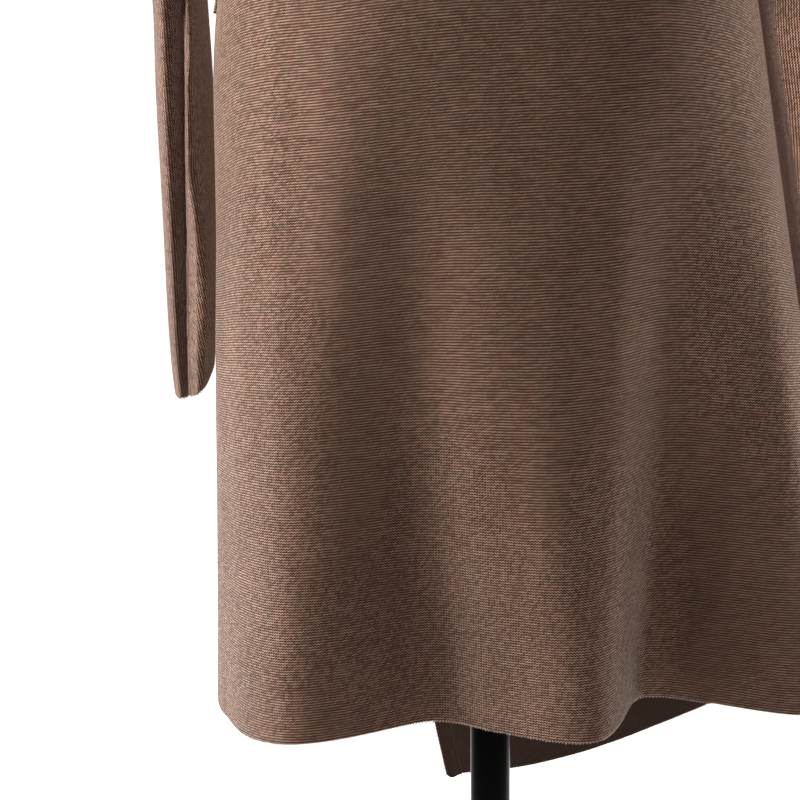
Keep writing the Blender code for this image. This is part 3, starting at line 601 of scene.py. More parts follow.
# sleeves, hanging flat from the shoulder
sleeveShape = {
    "around": 152, "rowsPerRing": 13, "ringPower": 0.8, "softPasses": 30,
    "clear": 0.0011, "clearBelow": 1.14,     # how far the inner side stays off the skirt, and where
    "seamAside": 0.05, "seamProud": 0.0003, "seamTop": (0.94, 0.20),
    "tuck": 0.0008, "tuckIn": 0.0005,        # the head of the sleeve tucks under the edge of the armhole
    "bluntBelow": {"left": 0.82, "right": 0.98}, "bluntOver": 0.07, "blunt": 0.45,     # of the inner lobe
    "valleyPower": (3.0, 1.8, 0.8),          # outer side, inner side, and less of it low down
    # painted shade in the seam valley: its strength, and how fast it fades away from the valley floor
    "paintedValleyShade": 0.62, "shadePower": 1.6,
    "setBackFrom": 0.3, "cuffRiseFrom": 0.35, "fullTilt": 20.0,     # places across, and degrees
    # centre across, centre height, tilt of the ring, half thickness, half depth, depth of the seam valley
    "upper": [
        (0.1828, 1.2465, 75.6, 0.0914, 0.0520, 0.000),
        (0.1905, 1.2175, 69.2, 0.0775, 0.0580, 0.000),
        (0.1950, 1.1675, 60.3, 0.0605, 0.0600, 0.001),
        (0.1950, 1.1100, 46.0, 0.0417, 0.0600, 0.003),
        (0.1928, 1.0475, 26.0, 0.0282, 0.0580, 0.005),
    ],
    "left": [
        (0.1903, 0.9825, 7.0, 0.0200, 0.0560, 0.007),
        (0.1862, 0.9200, 0.0, 0.0143, 0.0540, 0.020),
        (0.1846, 0.8600, 0.0, 0.0161, 0.0520, 0.023),
        (0.1829, 0.8000, 0.0, 0.0157, 0.0500, 0.022),
        (0.1824, 0.7400, 0.0, 0.0147, 0.0480, 0.018),
        (0.1825, 0.7020, -10.0, 0.0132, 0.0460, 0.011),
        (0.1822, 0.6833, -20.0, 0.0120, 0.0440, 0.009),
    ],
    "right": [
        (0.1850, 0.9825, 7.0, 0.0200, 0.0560, 0.007),
        (0.1755, 0.9200, 0.0, 0.0168, 0.0540, 0.008),
        (0.1848, 0.8600, 0.0, 0.0162, 0.0520, 0.008),
        (0.1940, 0.8000, 0.0, 0.0154, 0.0500, 0.008),
        (0.2020, 0.7400, 0.0, 0.0143, 0.0480, 0.007),
        (0.2065, 0.7030, -8.0, 0.0130, 0.0460, 0.005),
        (0.2090, 0.6820, -18.0, 0.0112, 0.0440, 0.004),
    ],
    # the valley between the two lobes: height, place across (1 outer edge, -1 inner edge), reach outward,
    # reach inward, and how far the inner lobe stands further back than the outer one
    "leftValley": [
        (0.680, 0.06, 0.75, 1.00, 0.010), (0.740, 0.04, 0.90, 1.00, 0.012),
        (0.780, -0.02, 0.95, 0.60, 0.008), (0.815, -0.10, 1.05, 0.10, 0.002),
        (0.855, -0.25, 1.10, 0.06, 0.0), (0.885, -0.34, 1.15, 0.06, 0.0),
        (0.917, -0.52, 1.25, 0.08, 0.0), (1.000, -0.55, 1.25, 0.30, 0.0),
    ],
    "rightValley": [
        (0.680, 0.55, 0.38, 0.42, 0.0), (0.800, 0.58, 0.38, 0.42, 0.0), (0.917, 0.60, 0.38, 0.42, 0.0),
        (1.000, 0.55, 0.42, 0.46, 0.0),
    ],
    # soft ridges and troughs: place around (0 outer, 0.25 back), height, half width, half length, depth
    "leftFolds": [(0.320, 0.740, 0.020, 0.070, 0.0012), (0.620, 0.860, 0.040, 0.180, 0.0020)],
    "rightFolds": [
        (0.140, 0.900, 0.020, 0.130, 0.0030), (0.360, 0.780, 0.026, 0.120, 0.0026),
        (0.620, 0.880, 0.040, 0.180, 0.0020),
    ],
    "bothFolds": [
        (0.780, 0.900, 0.035, 0.200, -0.0030), (0.060, 1.200, 0.035, 0.060, -0.0040),
        (0.900, 1.190, 0.040, 0.060, -0.0040),
    ],
}


def armholePlaces(side, around):
    low, high = dressShape["underarm"], dressShape["shoulder"]
    z = 0.5 * (low + high) + 0.5 * (high - low) * np.cos(2.0 * np.pi * around)
    cut = armholeAngle(z)
    over = around <= 0.5
    angle = np.where(over, cut, 360.0 - cut) if side > 0 else np.where(over, 180.0 - cut, 180.0 + cut)
    return angle, z


def sleeveRings(name, around):
    # a flat ring at each height, with a valley between its two lobes at the back
    rings = sleeveShape["upper"] + sleeveShape[name]
    numbered = [(float(i),) + row for i, row in enumerate(rings)]
    last = len(rings) - 1
    position = np.linspace(0.0, last, last * sleeveShape["rowsPerRing"] + 1)[:, None]
    x, z, tilt, thick, deep, groove = (curveThrough(numbered, position, i) for i in range(1, 7))
    turn = 2.0 * np.pi * around[None, :]
    c, s = np.cos(turn), np.sin(turn)
    place = signedPower(c, sleeveShape["ringPower"])
    lowDown = smooth((sleeveShape["bluntBelow"][name] - z) / sleeveShape["bluntOver"])
    blunt = sleeveShape["ringPower"] - sleeveShape["blunt"] * lowDown * (place < 0.0) * (s > 0.0)
    depth = signedPower(s, blunt) * deep
    valley = sleeveShape[name + "Valley"]
    middle, outward, inward, further = (curveThrough(valley, z, i) for i in (1, 2, 3, 4))
    away = place - middle
    away = np.clip(np.abs(away) / np.where(away > 0.0, outward, inward), 0.0, 1.0)
    start = sleeveShape["setBackFrom"]
    setBack = np.clip((start - place) / (1.0 + start), 0.0, 1.0) ** 1.5
    depth = depth + further * setBack * np.maximum(0.0, s) ** 0.5
    outer, inner, less = sleeveShape["valleyPower"]
    power = np.where(place > middle, outer, inner - less * lowDown)
    depth = depth - groove * np.where(s > 0.0, (1.0 - away) ** power, 0.0)
    # painted shade on the outer side of the seam valley, darkest at its floor
    shade = np.where((s > 0.0) & (place > middle), (1.0 - away) ** sleeveShape["shadePower"], 0.0)
    # the cuff is level below the outer lobe and rises at the inner edge
    lean = np.radians(tilt)
    level = np.minimum(1.0, np.abs(tilt) / sleeveShape["fullTilt"])
    start = sleeveShape["cuffRiseFrom"]
    rise = np.clip((start - place) / (1.0 + start), 0.0, 1.0)
    drop = np.where(lean < 0.0, 1.0 - 2.0 * rise ** 2, place)
    drop = drop * level + place * (1.0 - level)
    points = np.stack((x + place * thick * np.cos(lean), depth, z + drop * thick * np.sin(lean)), -1)
    return points, sleeveShape["paintedValleyShade"] * shade


def sleeveHead(side, around):
    # the armhole's own line, moved just under its edge
    head = dressPoints(*armholePlaces(side, around))
    head[:, 0] = np.abs(head[:, 0]) - sleeveShape["tuck"]
    inward = np.array((0.0, 0.0, 0.5 * (dressShape["underarm"] + dressShape["shoulder"]))) - head
    inward[:, 0] = 0.0
    return head + unit(inward) * sleeveShape["tuckIn"]


def tubeNormals(points):
    # directions away from a tube whose last column repeats the first
    across = np.roll(points[:, :-1], -1, 1) - np.roll(points[:, :-1], 1, 1)
    across = np.concatenate((across, across[:, :1]), 1)
    return unit(np.cross(np.gradient(points, axis=0), across))


def softFolds(points, around, folds):
    relief = np.zeros(points.shape[:2])
    for place, height, width, length, amount in folds:
        away = np.abs(around[None, :] - place)
        away = np.minimum(away, 1.0 - away) / width
        along = (points[..., 2] - height) / length
        relief += amount * np.exp(-away * away - along * along)
    return points + tubeNormals(points) * relief[..., None]


def keepOffSkirt(points, side):
    x, y, z = points[..., 0], points[..., 1], points[..., 2]
    deep = np.where(y >= 0.0, ringAt(z, 3), ringAt(z, 4))
    square = dressShape["squareness"]
    share = np.clip(np.abs(y) / deep, 0.0, 0.98)
    skirt = ringAt(z, 1 if side > 0 else 2) * (1.0 - share ** square) ** (1.0 / square)
    points[..., 0] = np.where(z < sleeveShape["clearBelow"], np.maximum(x, skirt + sleeveShape["clear"]), x)


def makeSleeve(side):
    # both are shaped on the left side, and the right one is turned over at the end
    name = "left" if side > 0 else "right"
    perRing = sleeveShape["rowsPerRing"]
    around = np.linspace(0.0, 1.0, sleeveShape["around"] + 1)
    points, shade = sleeveRings(name, around)
    shade = np.concatenate((np.repeat(shade[:1], perRing, 0), shade), 0)
    share = np.linspace(0.0, 1.0, perRing + 1)[:-1, None, None]
    head = sleeveHead(side, around)[None] * (1.0 - share) + points[0][None] * share
    points = np.concatenate((head, points), 0)
    # soften the joints between the rings, but leave the armhole and the cuff where they are
    for _ in range(sleeveShape["softPasses"]):
        points[1:-1] = 0.5 * points[1:-1] + 0.25 * (points[:-2] + points[2:])
    points = softFolds(points, around, sleeveShape[name + "Folds"] + sleeveShape["bothFolds"])
    keepOffSkirt(points, side)
    points[:, -1] = points[:, 0]
    step = np.linalg.norm(np.diff(points, axis=0), axis=2).mean(1)
    run = np.concatenate(([0.0], np.cumsum(step)))[:, None] + 0.0 * around[None, :]
    plan = np.stack((run, lengthsAcross(points, 0)), -1)
    if side < 0:
        points = points[:, ::-1] * np.array((-1.0, 1.0, 1.0))
        plan, shade = plan[:, ::-1], shade[:, ::-1]
    return points, plan, shade


leftPoints, leftPlan, leftShade = makeSleeve(1)
rightPoints, rightPlan, rightShade = makeSleeve(-1)
sleeveLeft = clothShell("sleeveLeft", leftPoints, leftPlan, closed=True, paintedShade=leftShade)
sleeveRight = clothShell("sleeveRight", rightPoints, rightPlan, closed=True, paintedShade=rightShade)
finishPiece(sleeveLeft, "knit", "sleeve_left")
finishPiece(sleeveRight, "knit", "sleeve_right")
print("sleeves hung")


# the belt: a flat band, its knot and two tie ends
beltShape = {
    "waist": 1.000, "width": 0.040, "gap": 0.0014, "knotAngle": 324.0, "knotTurn": 9.2,
    "columns": 220, "rows": 12, "pinch": 0.18,      # the band is drawn in beside the knot
    "tailWidth": 0.030, "tailColumns": 12, "tailRows": 12, "tailPinch": 0.22, "tailFold": 0.0012,
    # angle, height, distance outside the dress
    "sideTail": [
        (334.0, 0.9784, 0.0085), (337.0, 0.9580, 0.0062), (340.5, 0.9420, 0.0040),
        (344.5, 0.9240, 0.0022), (347.5, 0.9050, 0.0024),
    ],
    "frontTail": [
        (314.5, 0.9784, 0.0090), (313.5, 0.9300, 0.0062), (313.0, 0.8800, 0.0044),
        (313.0, 0.8200, 0.0038), (312.5, 0.7600, 0.0036), (312.0, 0.7000, 0.0036),
    ],
    "sideWave": 0.0005, "frontWave": 0.0012,
    "knotSize": (0.034, 0.018, 0.036), "knotCuts": 15, "knotRoundness": 0.62, "knotFold": 0.05,
}


def makeBelt():
    across = np.linspace(0.0, 1.0, beltShape["columns"] + 1)[None, :]
    down = np.linspace(0.0, 1.0, beltShape["rows"] + 1)[:, None]
    start = beltShape["knotAngle"] - 360.0 + beltShape["knotTurn"]
    angle = start + (beltShape["knotAngle"] - beltShape["knotTurn"] - start) * across
    pinch = smooth(np.abs(across - 0.5) * 24.0 - 11.0)
    z = beltShape["waist"] + beltShape["width"] * (0.5 - down) * (1.0 - beltShape["pinch"] * pinch)
    whole = np.where(angle >= 0.0, angle, angle + 360.0) + 0.0 * down
    # the band rides over the step of the wrap and comes back down on the other side of the knot
    lift = np.where((whole > 180.0) & (whole < 330.0), wrapLift(whole, z), 0.0)
    lift = np.where(whole >= 330.0, dressShape["layerStep"] * smooth((345.0 - whole) / 15.0), lift)
    wave = 0.0005 * np.sin(down * 9.0 + across * 40.0) * np.sin(across * 23.0)
    wave = wave + 0.0004 * np.sin(down * 17.0) * pinch
    points = dressPoints(whole, z, dressShape["wall"] + beltShape["gap"] + lift + wave)
    return points, np.stack((lengthsAcross(points, 0), beltShape["width"] * down + 0.0 * across), -1)


def makeTail(path, wave):
    numbered = [(float(i),) + row for i, row in enumerate(path)]
    position = np.linspace(0.0, len(path) - 1.0, beltShape["tailRows"] * (len(path) - 1) + 1)[:, None]
    across = np.linspace(0.0, 1.0, beltShape["tailColumns"] + 1)[None, :]
    middle, height, out = (curveThrough(numbered, position, i) for i in (1, 2, 3))
    gather = 1.0 - beltShape["tailPinch"] * np.exp(-position * 1.4)     # drawn in below the knot
    width = np.degrees(beltShape["tailWidth"] / ringAt(height, 4)) * gather
    ripple = wave * np.sin(across * 7.0 + 0.6) * np.sin(position * 1.3 + 0.4)
    ripple = ripple + beltShape["tailFold"] * np.cos(across * 12.6) * np.exp(-position * 1.2)
    outside = dressShape["wall"] + out + np.maximum(ripple, -0.0006)
    points = dressPoints(middle + width * (across - 0.5), height + 0.0 * across, outside)
    run = lengthsDown(points, beltShape["tailColumns"] // 2)[:, None] + 0.0 * across
    return points, np.stack((run, beltShape["tailWidth"] * across + 0.0 * position), -1)


beltBand = clothShell("beltBand", *makeBelt())
beltEndSide = clothShell("beltEndSide", *makeTail(beltShape["sideTail"], beltShape["sideWave"]))
beltEndFront = clothShell("beltEndFront", *makeTail(beltShape["frontTail"], beltShape["frontWave"]))


def makeKnot():
    # one turn of the band over the tie: a pillow with the band's folds running over it
    form = bmesh.new()
    bmesh.ops.create_cube(form, size=2.0)
    bmesh.ops.subdivide_edges(form, edges=form.edges[:], cuts=beltShape["knotCuts"], use_grid_fill=True)
    half = [0.5 * size for size in beltShape["knotSize"]]
    for vertex in form.verts:
        x, y, z = vertex.co
        ball = vertex.co.normalized() * max(abs(x), abs(y), abs(z)) * 1.25
        soft = vertex.co.lerp(ball, beltShape["knotRoundness"])
        pinch = 1.0 - 0.05 * math.cos(z * math.pi) - 0.10 * abs(z) ** 2
        fold = beltShape["knotFold"] * math.cos(x * 9.0 + 0.8 * math.sin(z * 2.0)) * (1.0 if y < 0 else 0.2)
        vertex.co = (soft.x * half[0] * pinch, soft.y * half[1] * (1.0 + fold), soft.z * half[2] * 0.98)
    bmesh.ops.recalc_face_normals(form, faces=form.faces[:])
    layer = form.loops.layers.uv.new("knitPlan")
    for face in form.faces:
        for loop in face.loops:
            loop[layer].uv = (loop.vert.co.z + loop.vert.co.y, loop.vert.co.x)
    mesh = bpy.data.meshes.new("beltKnot")
    form.to_mesh(mesh)
    form.free()
    low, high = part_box("belt_knot")
    angle, height = np.array([beltShape["knotAngle"]]), np.array([beltShape["waist"]])
    normal = surfaceNormals(angle, height, basePoints)[0]
    turn = Matrix.Rotation(math.atan2(normal[0], -normal[1]), 4, "Z")
    mesh.transform(Matrix.Translation((low + high) / 2) @ turn)
    mesh.shade_smooth()
    return addPiece("beltKnot", mesh, knitOutside)


beltKnot = makeKnot()
finishPiece(beltBand, "knit", "belt_band")
finishPiece(beltEndSide, "knit", "belt_end_side")
finishPiece(beltEndFront, "knit", "belt_end_front")
finishPiece(beltKnot, "knit", "belt_knot")
print("belt tied")


# linked loops, laid by Geometry Nodes along the hems, the cuffs, the wrap's free edge and the side, sleeve
# and armhole seams
edgeLoops = {"spacing": 0.00205, "width": 0.00125, "drop": 0.00110, "yarn": 0.00028,
             "unevenness": 0.12, "seed": 4}
seamLoops = {"spacing": 0.0024, "width": 0.0021, "drop": 0.00035, "yarn": 0.00032, "slot": "knit"}
armholeLoops = dict(seamLoops, yarn=0.0005)
frontLoops = {"drop": 0.0013, "yarn": 0.00032}
frontLine = {"inset": 0.0009, "lastRow": 5}


def loopTree():
    # a small arch of yarn, repeated along a line and turned to the line's outward direction
    tree = bpy.data.node_groups.new("edgeLoopTree", "GeometryNodeTree")
    kinds = {"Geometry": "Geometry", "Spacing": "Float", "Loop width": "Float", "Loop drop": "Float",
             "Yarn radius": "Float", "Unevenness": "Float", "Seed": "Int", "Yarn look": "Material"}
    for label, kind in kinds.items():
        tree.interface.new_socket(label, in_out="INPUT", socket_type="NodeSocket" + kind)
    tree.interface.new_socket("Geometry", in_out="OUTPUT", socket_type="NodeSocketGeometry")
    given = tree.nodes.new("NodeGroupInput").outputs
    line = nodeOf(tree, "GeometryNodeMeshToCurve", {"Mesh": given["Geometry"]})
    line = nodeOf(tree, "GeometryNodeResampleCurve", {"Curve": line, "Length": given["Spacing"]},
                  mode="LENGTH")
    half = sums(tree, "MULTIPLY", given["Loop width"], 0.5)
    # the loop's own Z points down, out of the cloth
    peak = vectorOf(tree, z=sums(tree, "MULTIPLY", given["Loop drop"], 2.0))
    other = sums(tree, "MULTIPLY", half, -1.0)
    arch = nodeOf(tree, "GeometryNodeCurveQuadraticBezier", {
        "Resolution": 5, "Start": vectorOf(tree, other), "Middle": peak, "End": vectorOf(tree, half)})
    yarn = nodeOf(tree, "GeometryNodeCurvePrimitiveCircle",
                  {"Resolution": 5, "Radius": given["Yarn radius"]})
    tube = nodeOf(tree, "GeometryNodeCurveToMesh",
                  {"Curve": arch, "Profile Curve": yarn, "Fill Caps": True})
    tangent = nodeOf(tree, "GeometryNodeInputTangent", {})
    outward = nodeOf(tree, "GeometryNodeInputNamedAttribute", {"Name": "outward"}, "Attribute",
                     data_type="FLOAT_VECTOR")
    turn = nodeOf(tree, "FunctionNodeAxesToRotation", {0: tangent, 1: outward},
                  primary_axis="X", secondary_axis="Y")
    least = sums(tree, "SUBTRACT", 1.0, given["Unevenness"])
    most = sums(tree, "ADD", 1.0, given["Unevenness"])
    size = nodeOf(tree, "FunctionNodeRandomValue", {2: least, 3: most, "Seed": given["Seed"]}, 1)
    made = nodeOf(tree, "GeometryNodeInstanceOnPoints",
                  {"Points": line, "Instance": tube, "Rotation": turn, "Scale": size})
    made = nodeOf(tree, "GeometryNodeRealizeInstances", {"Geometry": made})
    made = nodeOf(tree, "GeometryNodeSetShadeSmooth", {"Geometry": made})
    made = nodeOf(tree, "GeometryNodeSetMaterial", {"Geometry": made, "Material": given["Yarn look"]})
    tree.links.new(made, tree.nodes.new("NodeGroupOutput").inputs["Geometry"])
    return tree


def yarnLook():
    # the loops are far smaller than a course, so their tone comes from object space
    made, tree, shader = startLook("edgeYarn")
    fibre = noiseOf(tree, placeOf(tree), 2400.0, 2.0, 0.6)
    slow = noiseOf(tree, placeOf(tree), 120.0)
    colour = blendOf(tree, fibre, (0.200, 0.122, 0.090, 1.0), (0.500, 0.335, 0.262, 1.0))
    feed(tree, shader, {
        "Base Color": blendOf(tree, sums(tree, "MULTIPLY", slow, 0.4), colour, (0.340, 0.218, 0.166, 1.0)),
        "Normal": bumpOf(tree, fibre, 0.0002, 0.6),
        "Roughness": 0.9, "Sheen Weight": 0.5, "Sheen Roughness": 0.4,
    })
    return made


loops = loopTree()
edgeYarn = yarnLook()


def layLoops(name, path, outward, slot="knit_edge", **changes):
    # path and outward hold one point each along the edge
    sizes = dict(edgeLoops, **changes)
    mesh = bpy.data.meshes.new(name)
    mesh.from_pydata(path.tolist(), [(i, i + 1) for i in range(len(path) - 1)], [])
    turned = mesh.attributes.new("outward", "FLOAT_VECTOR", "POINT")
    turned.data.foreach_set("vector", outward.astype(np.float32).ravel())
    made = addPiece(name, mesh)
    modifier = made.modifiers.new("Loops", "NODES")
    modifier.node_group = loops
    values = {"Spacing": sizes["spacing"], "Loop width": sizes["width"], "Loop drop": sizes["drop"],
              "Yarn radius": sizes["yarn"], "Unevenness": sizes["unevenness"], "Seed": sizes["seed"],
              "Yarn look": edgeYarn}
    for socket in loops.interface.items_tree:
        if socket.in_out == "INPUT" and socket.name in values:
            modifier[socket.identifier] = values[socket.name]
    plainCopy(made)
    return finishPiece(made, slot)


def hemLine(points):
    # middle of the cloth's lower edge, with the outward direction there
    edge = points[-1]
    out = unit(np.cross(edge - points[-3], np.gradient(edge, axis=0)))
    return edge - out * 0.3 * dressShape["wall"], out


def sleeveSeam(points, name):
    # along the inner wall of the valley, then up to the underarm
    z = points[:, :, 2].mean(1)
    middle, _, inward = (curveThrough(sleeveShape[name + "Valley"], z, i) for i in (1, 2, 3))
    place = middle - np.minimum(sleeveShape["seamAside"], inward)
    around = np.degrees(np.arccos(signedPower(place, 1.0 / sleeveShape["ringPower"]))) / 360.0
    low, over = sleeveShape["seamTop"]
    lift = smooth((z - low) / over)
    around = around * (1.0 - lift) + 0.5 * lift
    at = (around if name == "left" else 1.0 - around) * (points.shape[1] - 1)
    column = np.clip(at.astype(int), 0, points.shape[1] - 2)
    share = (at - column)[:, None]
    rows = np.arange(len(z))
    path = points[rows, column] * (1.0 - share) + points[rows, column + 1] * share
    normal = tubeNormals(points)[rows, column]
    return (path + normal * sleeveShape["seamProud"])[2:-1], normal[2:-1]


def dressLine(angle, z, outside):
    return dressPoints(angle, z, 0.0 * z + outside), surfaceNormals(angle, z)


def armholeLine(side):
    return dressLine(*armholePlaces(side, np.linspace(0.0, 1.0, 161)), -0.0001)


def sideLine(angle):
    z = np.linspace(dressShape["underarm"] - 0.004, 0.487, 160)
    return dressLine(np.full(z.shape, angle), z, -0.0002)


def freeEdgeLine():
    # from the low corner upwards, so that the loops hang away from the band
    path, last = bandPoints[:, -1] - bandOut * frontLine["inset"], frontLine["lastRow"]
    return path[:last:-1], bandOut[:last:-1]


sleeveSeamLeft = layLoops("sleeveSeamLeft", *sleeveSeam(leftPoints, "left"), seed=14, **seamLoops)
sleeveSeamRight = layLoops("sleeveSeamRight", *sleeveSeam(rightPoints, "right"), seed=15, **seamLoops)
sideSeamLeft = layLoops("sideSeamLeft", *sideLine(0.0), seed=16, **seamLoops)
sideSeamRight = layLoops("sideSeamRight", *sideLine(180.0), seed=17, **seamLoops)
armholeSeamLeft = layLoops("armholeSeamLeft", *armholeLine(1), seed=19, **armholeLoops)
armholeSeamRight = layLoops("armholeSeamRight", *armholeLine(-1), seed=20, **armholeLoops)
backHemLoops = layLoops("backHemLoops", *hemLine(backPoints))
overHemLoops = layLoops("overHemLoops", *hemLine(overPoints), seed=7)
frontEdgeLoops = layLoops("frontEdgeLoops", *freeEdgeLine(), seed=18, **frontLoops)
underHemLoops = layLoops("underHemLoops", *hemLine(underPoints), seed=9)
cuffLoopsLeft = layLoops("cuffLoopsLeft", *hemLine(leftPoints), seed=11)
cuffLoopsRight = layLoops("cuffLoopsRight", *hemLine(rightPoints), seed=12)
print("edge loops laid")


# dress form and stand
formShape = {
    "around": 96, "wall": 0.0018, "rowsPerLevel": 4, "softPasses": 3,
    "seams": (90.0, 270.0, 50.0, 130.0, 234.0, 306.0), "seamWidth": 0.9, "seamDepth": 0.0006,
    # height, inset below the inner face of the dress
    "inset": [
        (0.690, 0.0280), (0.740, 0.0210), (0.790, 0.0130), (0.860, 0.0065), (0.920, 0.0040),
        (1.000, 0.0030), (1.163, 0.0042), (1.260, 0.0026), (1.312, 0.0024), (1.352, 0.0028),
        (1.376, 0.0028), (1.400, 0.0028),
    ],
    "levels": (1.397, 1.390, 1.376, 1.352, 1.312, 1.260, 1.210, 1.163, 1.115, 1.065, 1.020,
               1.000, 0.980, 0.958, 0.925, 0.885, 0.845, 0.800, 0.755, 0.712),
    "neck": [(1.480, 0.0560), (1.440, 0.0550), (1.416, 0.0580), (1.405, 0.0650)],
    "foot": [(0.698, 0.985), (0.690, 0.93), (0.686, 0.82), (0.6858, 0.5), (0.6858, 0.2)],
    "footInset": 0.0280, "bottom": 0.700,
}


def formLook():
    made, tree, shader = startLook("formJersey")
    height = splitOf(tree, placeOf(tree))[2]
    rib = sums(tree, "SINE", sums(tree, "MULTIPLY", height, 2.0 * math.pi / 0.0011))
    thread = noiseOf(tree, placeOf(tree), 900.0, 2.0, 0.6)
    cloud = noiseOf(tree, placeOf(tree), 14.0, 3.0)
    colour = blendOf(tree, thread, (0.300, 0.262, 0.205, 1.0), (0.430, 0.390, 0.325, 1.0))
    feed(tree, shader, {
        "Base Color": blendOf(tree, sums(tree, "MULTIPLY", cloud, 0.5), colour, (0.350, 0.300, 0.240, 1.0)),
        "Normal": bumpOf(tree, sums(tree, "MULTIPLY_ADD", rib, 0.25, thread), 0.0003, 0.7),
        "Roughness": 0.88, "Sheen Weight": 0.3,
    })
    return made


def blackLook(name, roughness):
    made, tree, shader = startLook(name)
    orange = noiseOf(tree, placeOf(tree), 420.0)
    speck = spread(tree, noiseOf(tree, placeOf(tree), 2600.0, 1.0), 0.66, 0.74, 0.0, 0.35)
    slow = noiseOf(tree, placeOf(tree), 18.0, 3.0)
    feed(tree, shader, {
        "Base Color": blendOf(tree, speck, (0.0025, 0.0025, 0.0023, 1.0), (0.030, 0.029, 0.027, 1.0)),
        "Roughness": spread(tree, slow, 0.3, 0.7, roughness * 0.85, roughness * 1.2),
        "Normal": bumpOf(tree, orange, 0.00004, 0.5), "Specular IOR Level": 0.025,
    })
    return made


formJersey = formLook()
blackEnamel = blackLook("blackEnamel", 0.15)
blackSatin = blackLook("blackSatin", 0.42)


def formRows(angle):
    # coarse rings: the neck, the body just inside the dress, and the rounded foot
    turn = np.radians(angle)
    rows = [np.stack((radius * np.cos(turn), radius * np.sin(turn), height + 0.0 * turn), -1)
            for height, radius in formShape["neck"]]
    for height in formShape["levels"]:
        z = height + 0.0 * angle
        inset = formShape["wall"] + float(curveThrough(formShape["inset"], height, 1))
        rows.append(basePoints(angle, z) - surfaceNormals(angle, z, basePoints) * inset)
    z = formShape["bottom"] + 0.0 * angle
    rim = basePoints(angle, z) - surfaceNormals(angle, z, basePoints) * formShape["footInset"]
    for height, share in formShape["foot"]:
        rows.append(np.stack((rim[:, 0] * share, rim[:, 1] * share, height + 0.0 * turn), -1))
    return np.array(rows)


def makeForm():
    angle = np.linspace(0.0, 360.0, formShape["around"] + 1)
    coarse = formRows(angle)
    fine = np.linspace(0.0, len(coarse) - 1.0, formShape["rowsPerLevel"] * (len(coarse) - 1) + 1)
    low = np.clip(fine.astype(int), 0, len(coarse) - 2)
    share = (fine - low)[:, None, None]
    points = coarse[low] * (1.0 - share) + coarse[low + 1] * share
    for _ in range(formShape["softPasses"]):
        points[1:-1] = 0.5 * points[1:-1] + 0.25 * (points[:-2] + points[2:])
    # sewn seams of the cover: centre front, centre back and the four panel lines
    groove = sum(np.exp(-((angle - line) / formShape["seamWidth"]) ** 2) for line in formShape["seams"])
    inward = -points * np.array((1.0, 1.0, 0.0))
    inward /= np.maximum(1e-9, np.linalg.norm(inward, axis=2, keepdims=True))
    points = points + inward * (formShape["seamDepth"] * groove)[None, :, None]
    points[:, -1] = points[:, 0]
    plan = np.stack((lengthsAcross(points, 0), points[..., 2]), -1)
    mesh = gridMesh("formTorso", points, plan, closed=True)
    form = bmesh.new()
    form.from_mesh(mesh)
    bmesh.ops.holes_fill(form, edges=form.edges[:], sides=0)
    bmesh.ops.recalc_face_normals(form, faces=form.faces[:])
    form.to_mesh(mesh)
    form.free()
    mesh.shade_smooth()
    return addPiece("formTorso", mesh, formJersey)


# the stand is turned about its axis: radius, height
standShape = {
    "steps": 96, "merge": 0.00001, "sharpFrom": 40.0,
    "cap": [(0.0, 1.4960), (0.040, 1.4958), (0.050, 1.4950), (0.0545, 1.4930), (0.0562, 1.4905),
            (0.0570, 1.4870), (0.0570, 1.4845), (0.0562, 1.4820), (0.0550, 1.4804), (0.0, 1.4804)],
    "flange": [(0.0, 0.6856), (0.0450, 0.6856), (0.0468, 0.6850), (0.0478, 0.6838), (0.0480, 0.6826),
               (0.0474, 0.6810), (0.0460, 0.6800), (0.0300, 0.6784), (0.0235, 0.6774), (0.0218, 0.6760),
               (0.0210, 0.6730), (0.0203, 0.6600), (0.0198, 0.6566), (0.0185, 0.6560), (0.0, 0.6560)],
    "pole": [(0.0, 0.6556), (0.0122, 0.6556), (0.0125, 0.6552),
             (0.0125, 0.0148), (0.0122, 0.0144), (0.0, 0.0144)],
    "socket": [(0.0132, 0.0420), (0.0168, 0.0420), (0.0205, 0.0405), (0.0220, 0.0385), (0.0232, 0.0300),
               (0.0238, 0.0180), (0.0250, 0.0158), (0.0300, 0.0146), (0.0352, 0.0142), (0.0360, 0.0139),
               (0.0352, 0.0137), (0.0132, 0.0137)],
    "base": [(0.0, 0.0134), (0.036, 0.0134), (0.060, 0.0124), (0.110, 0.0107), (0.140, 0.0094),
             (0.1465, 0.0086), (0.1490, 0.0072), (0.1500, 0.0052), (0.1500, 0.0020), (0.1494, 0.0006),
             (0.1480, 0.0), (0.0, 0.0)],
}


def turned(name, profile, look, node, ring=False):
    mesh = bpy.data.meshes.new(name)
    points = [(radius, 0.0, height) for radius, height in profile]
    edges = [(i, i + 1) for i in range(len(points) - 1)] + ([(len(points) - 1, 0)] if ring else [])
    mesh.from_pydata(points, edges, [])
    made = addPiece(name, mesh, look)
    screw = made.modifiers.new("Turn", "SCREW")
    screw.steps = screw.render_steps = standShape["steps"]
    screw.use_merge_vertices = True
    screw.merge_threshold = standShape["merge"]
    plainCopy(made)
    form = bmesh.new()
    form.from_mesh(made.data)
    bmesh.ops.remove_doubles(form, verts=form.verts[:], dist=standShape["merge"])
    bmesh.ops.recalc_face_normals(form, faces=form.faces[:])
    form.to_mesh(made.data)
    form.free()
    made.data.shade_smooth()
    made.data.set_sharp_from_angle(angle=math.radians(standShape["sharpFrom"]))
    return finishPiece(made, "black_enamel", node)


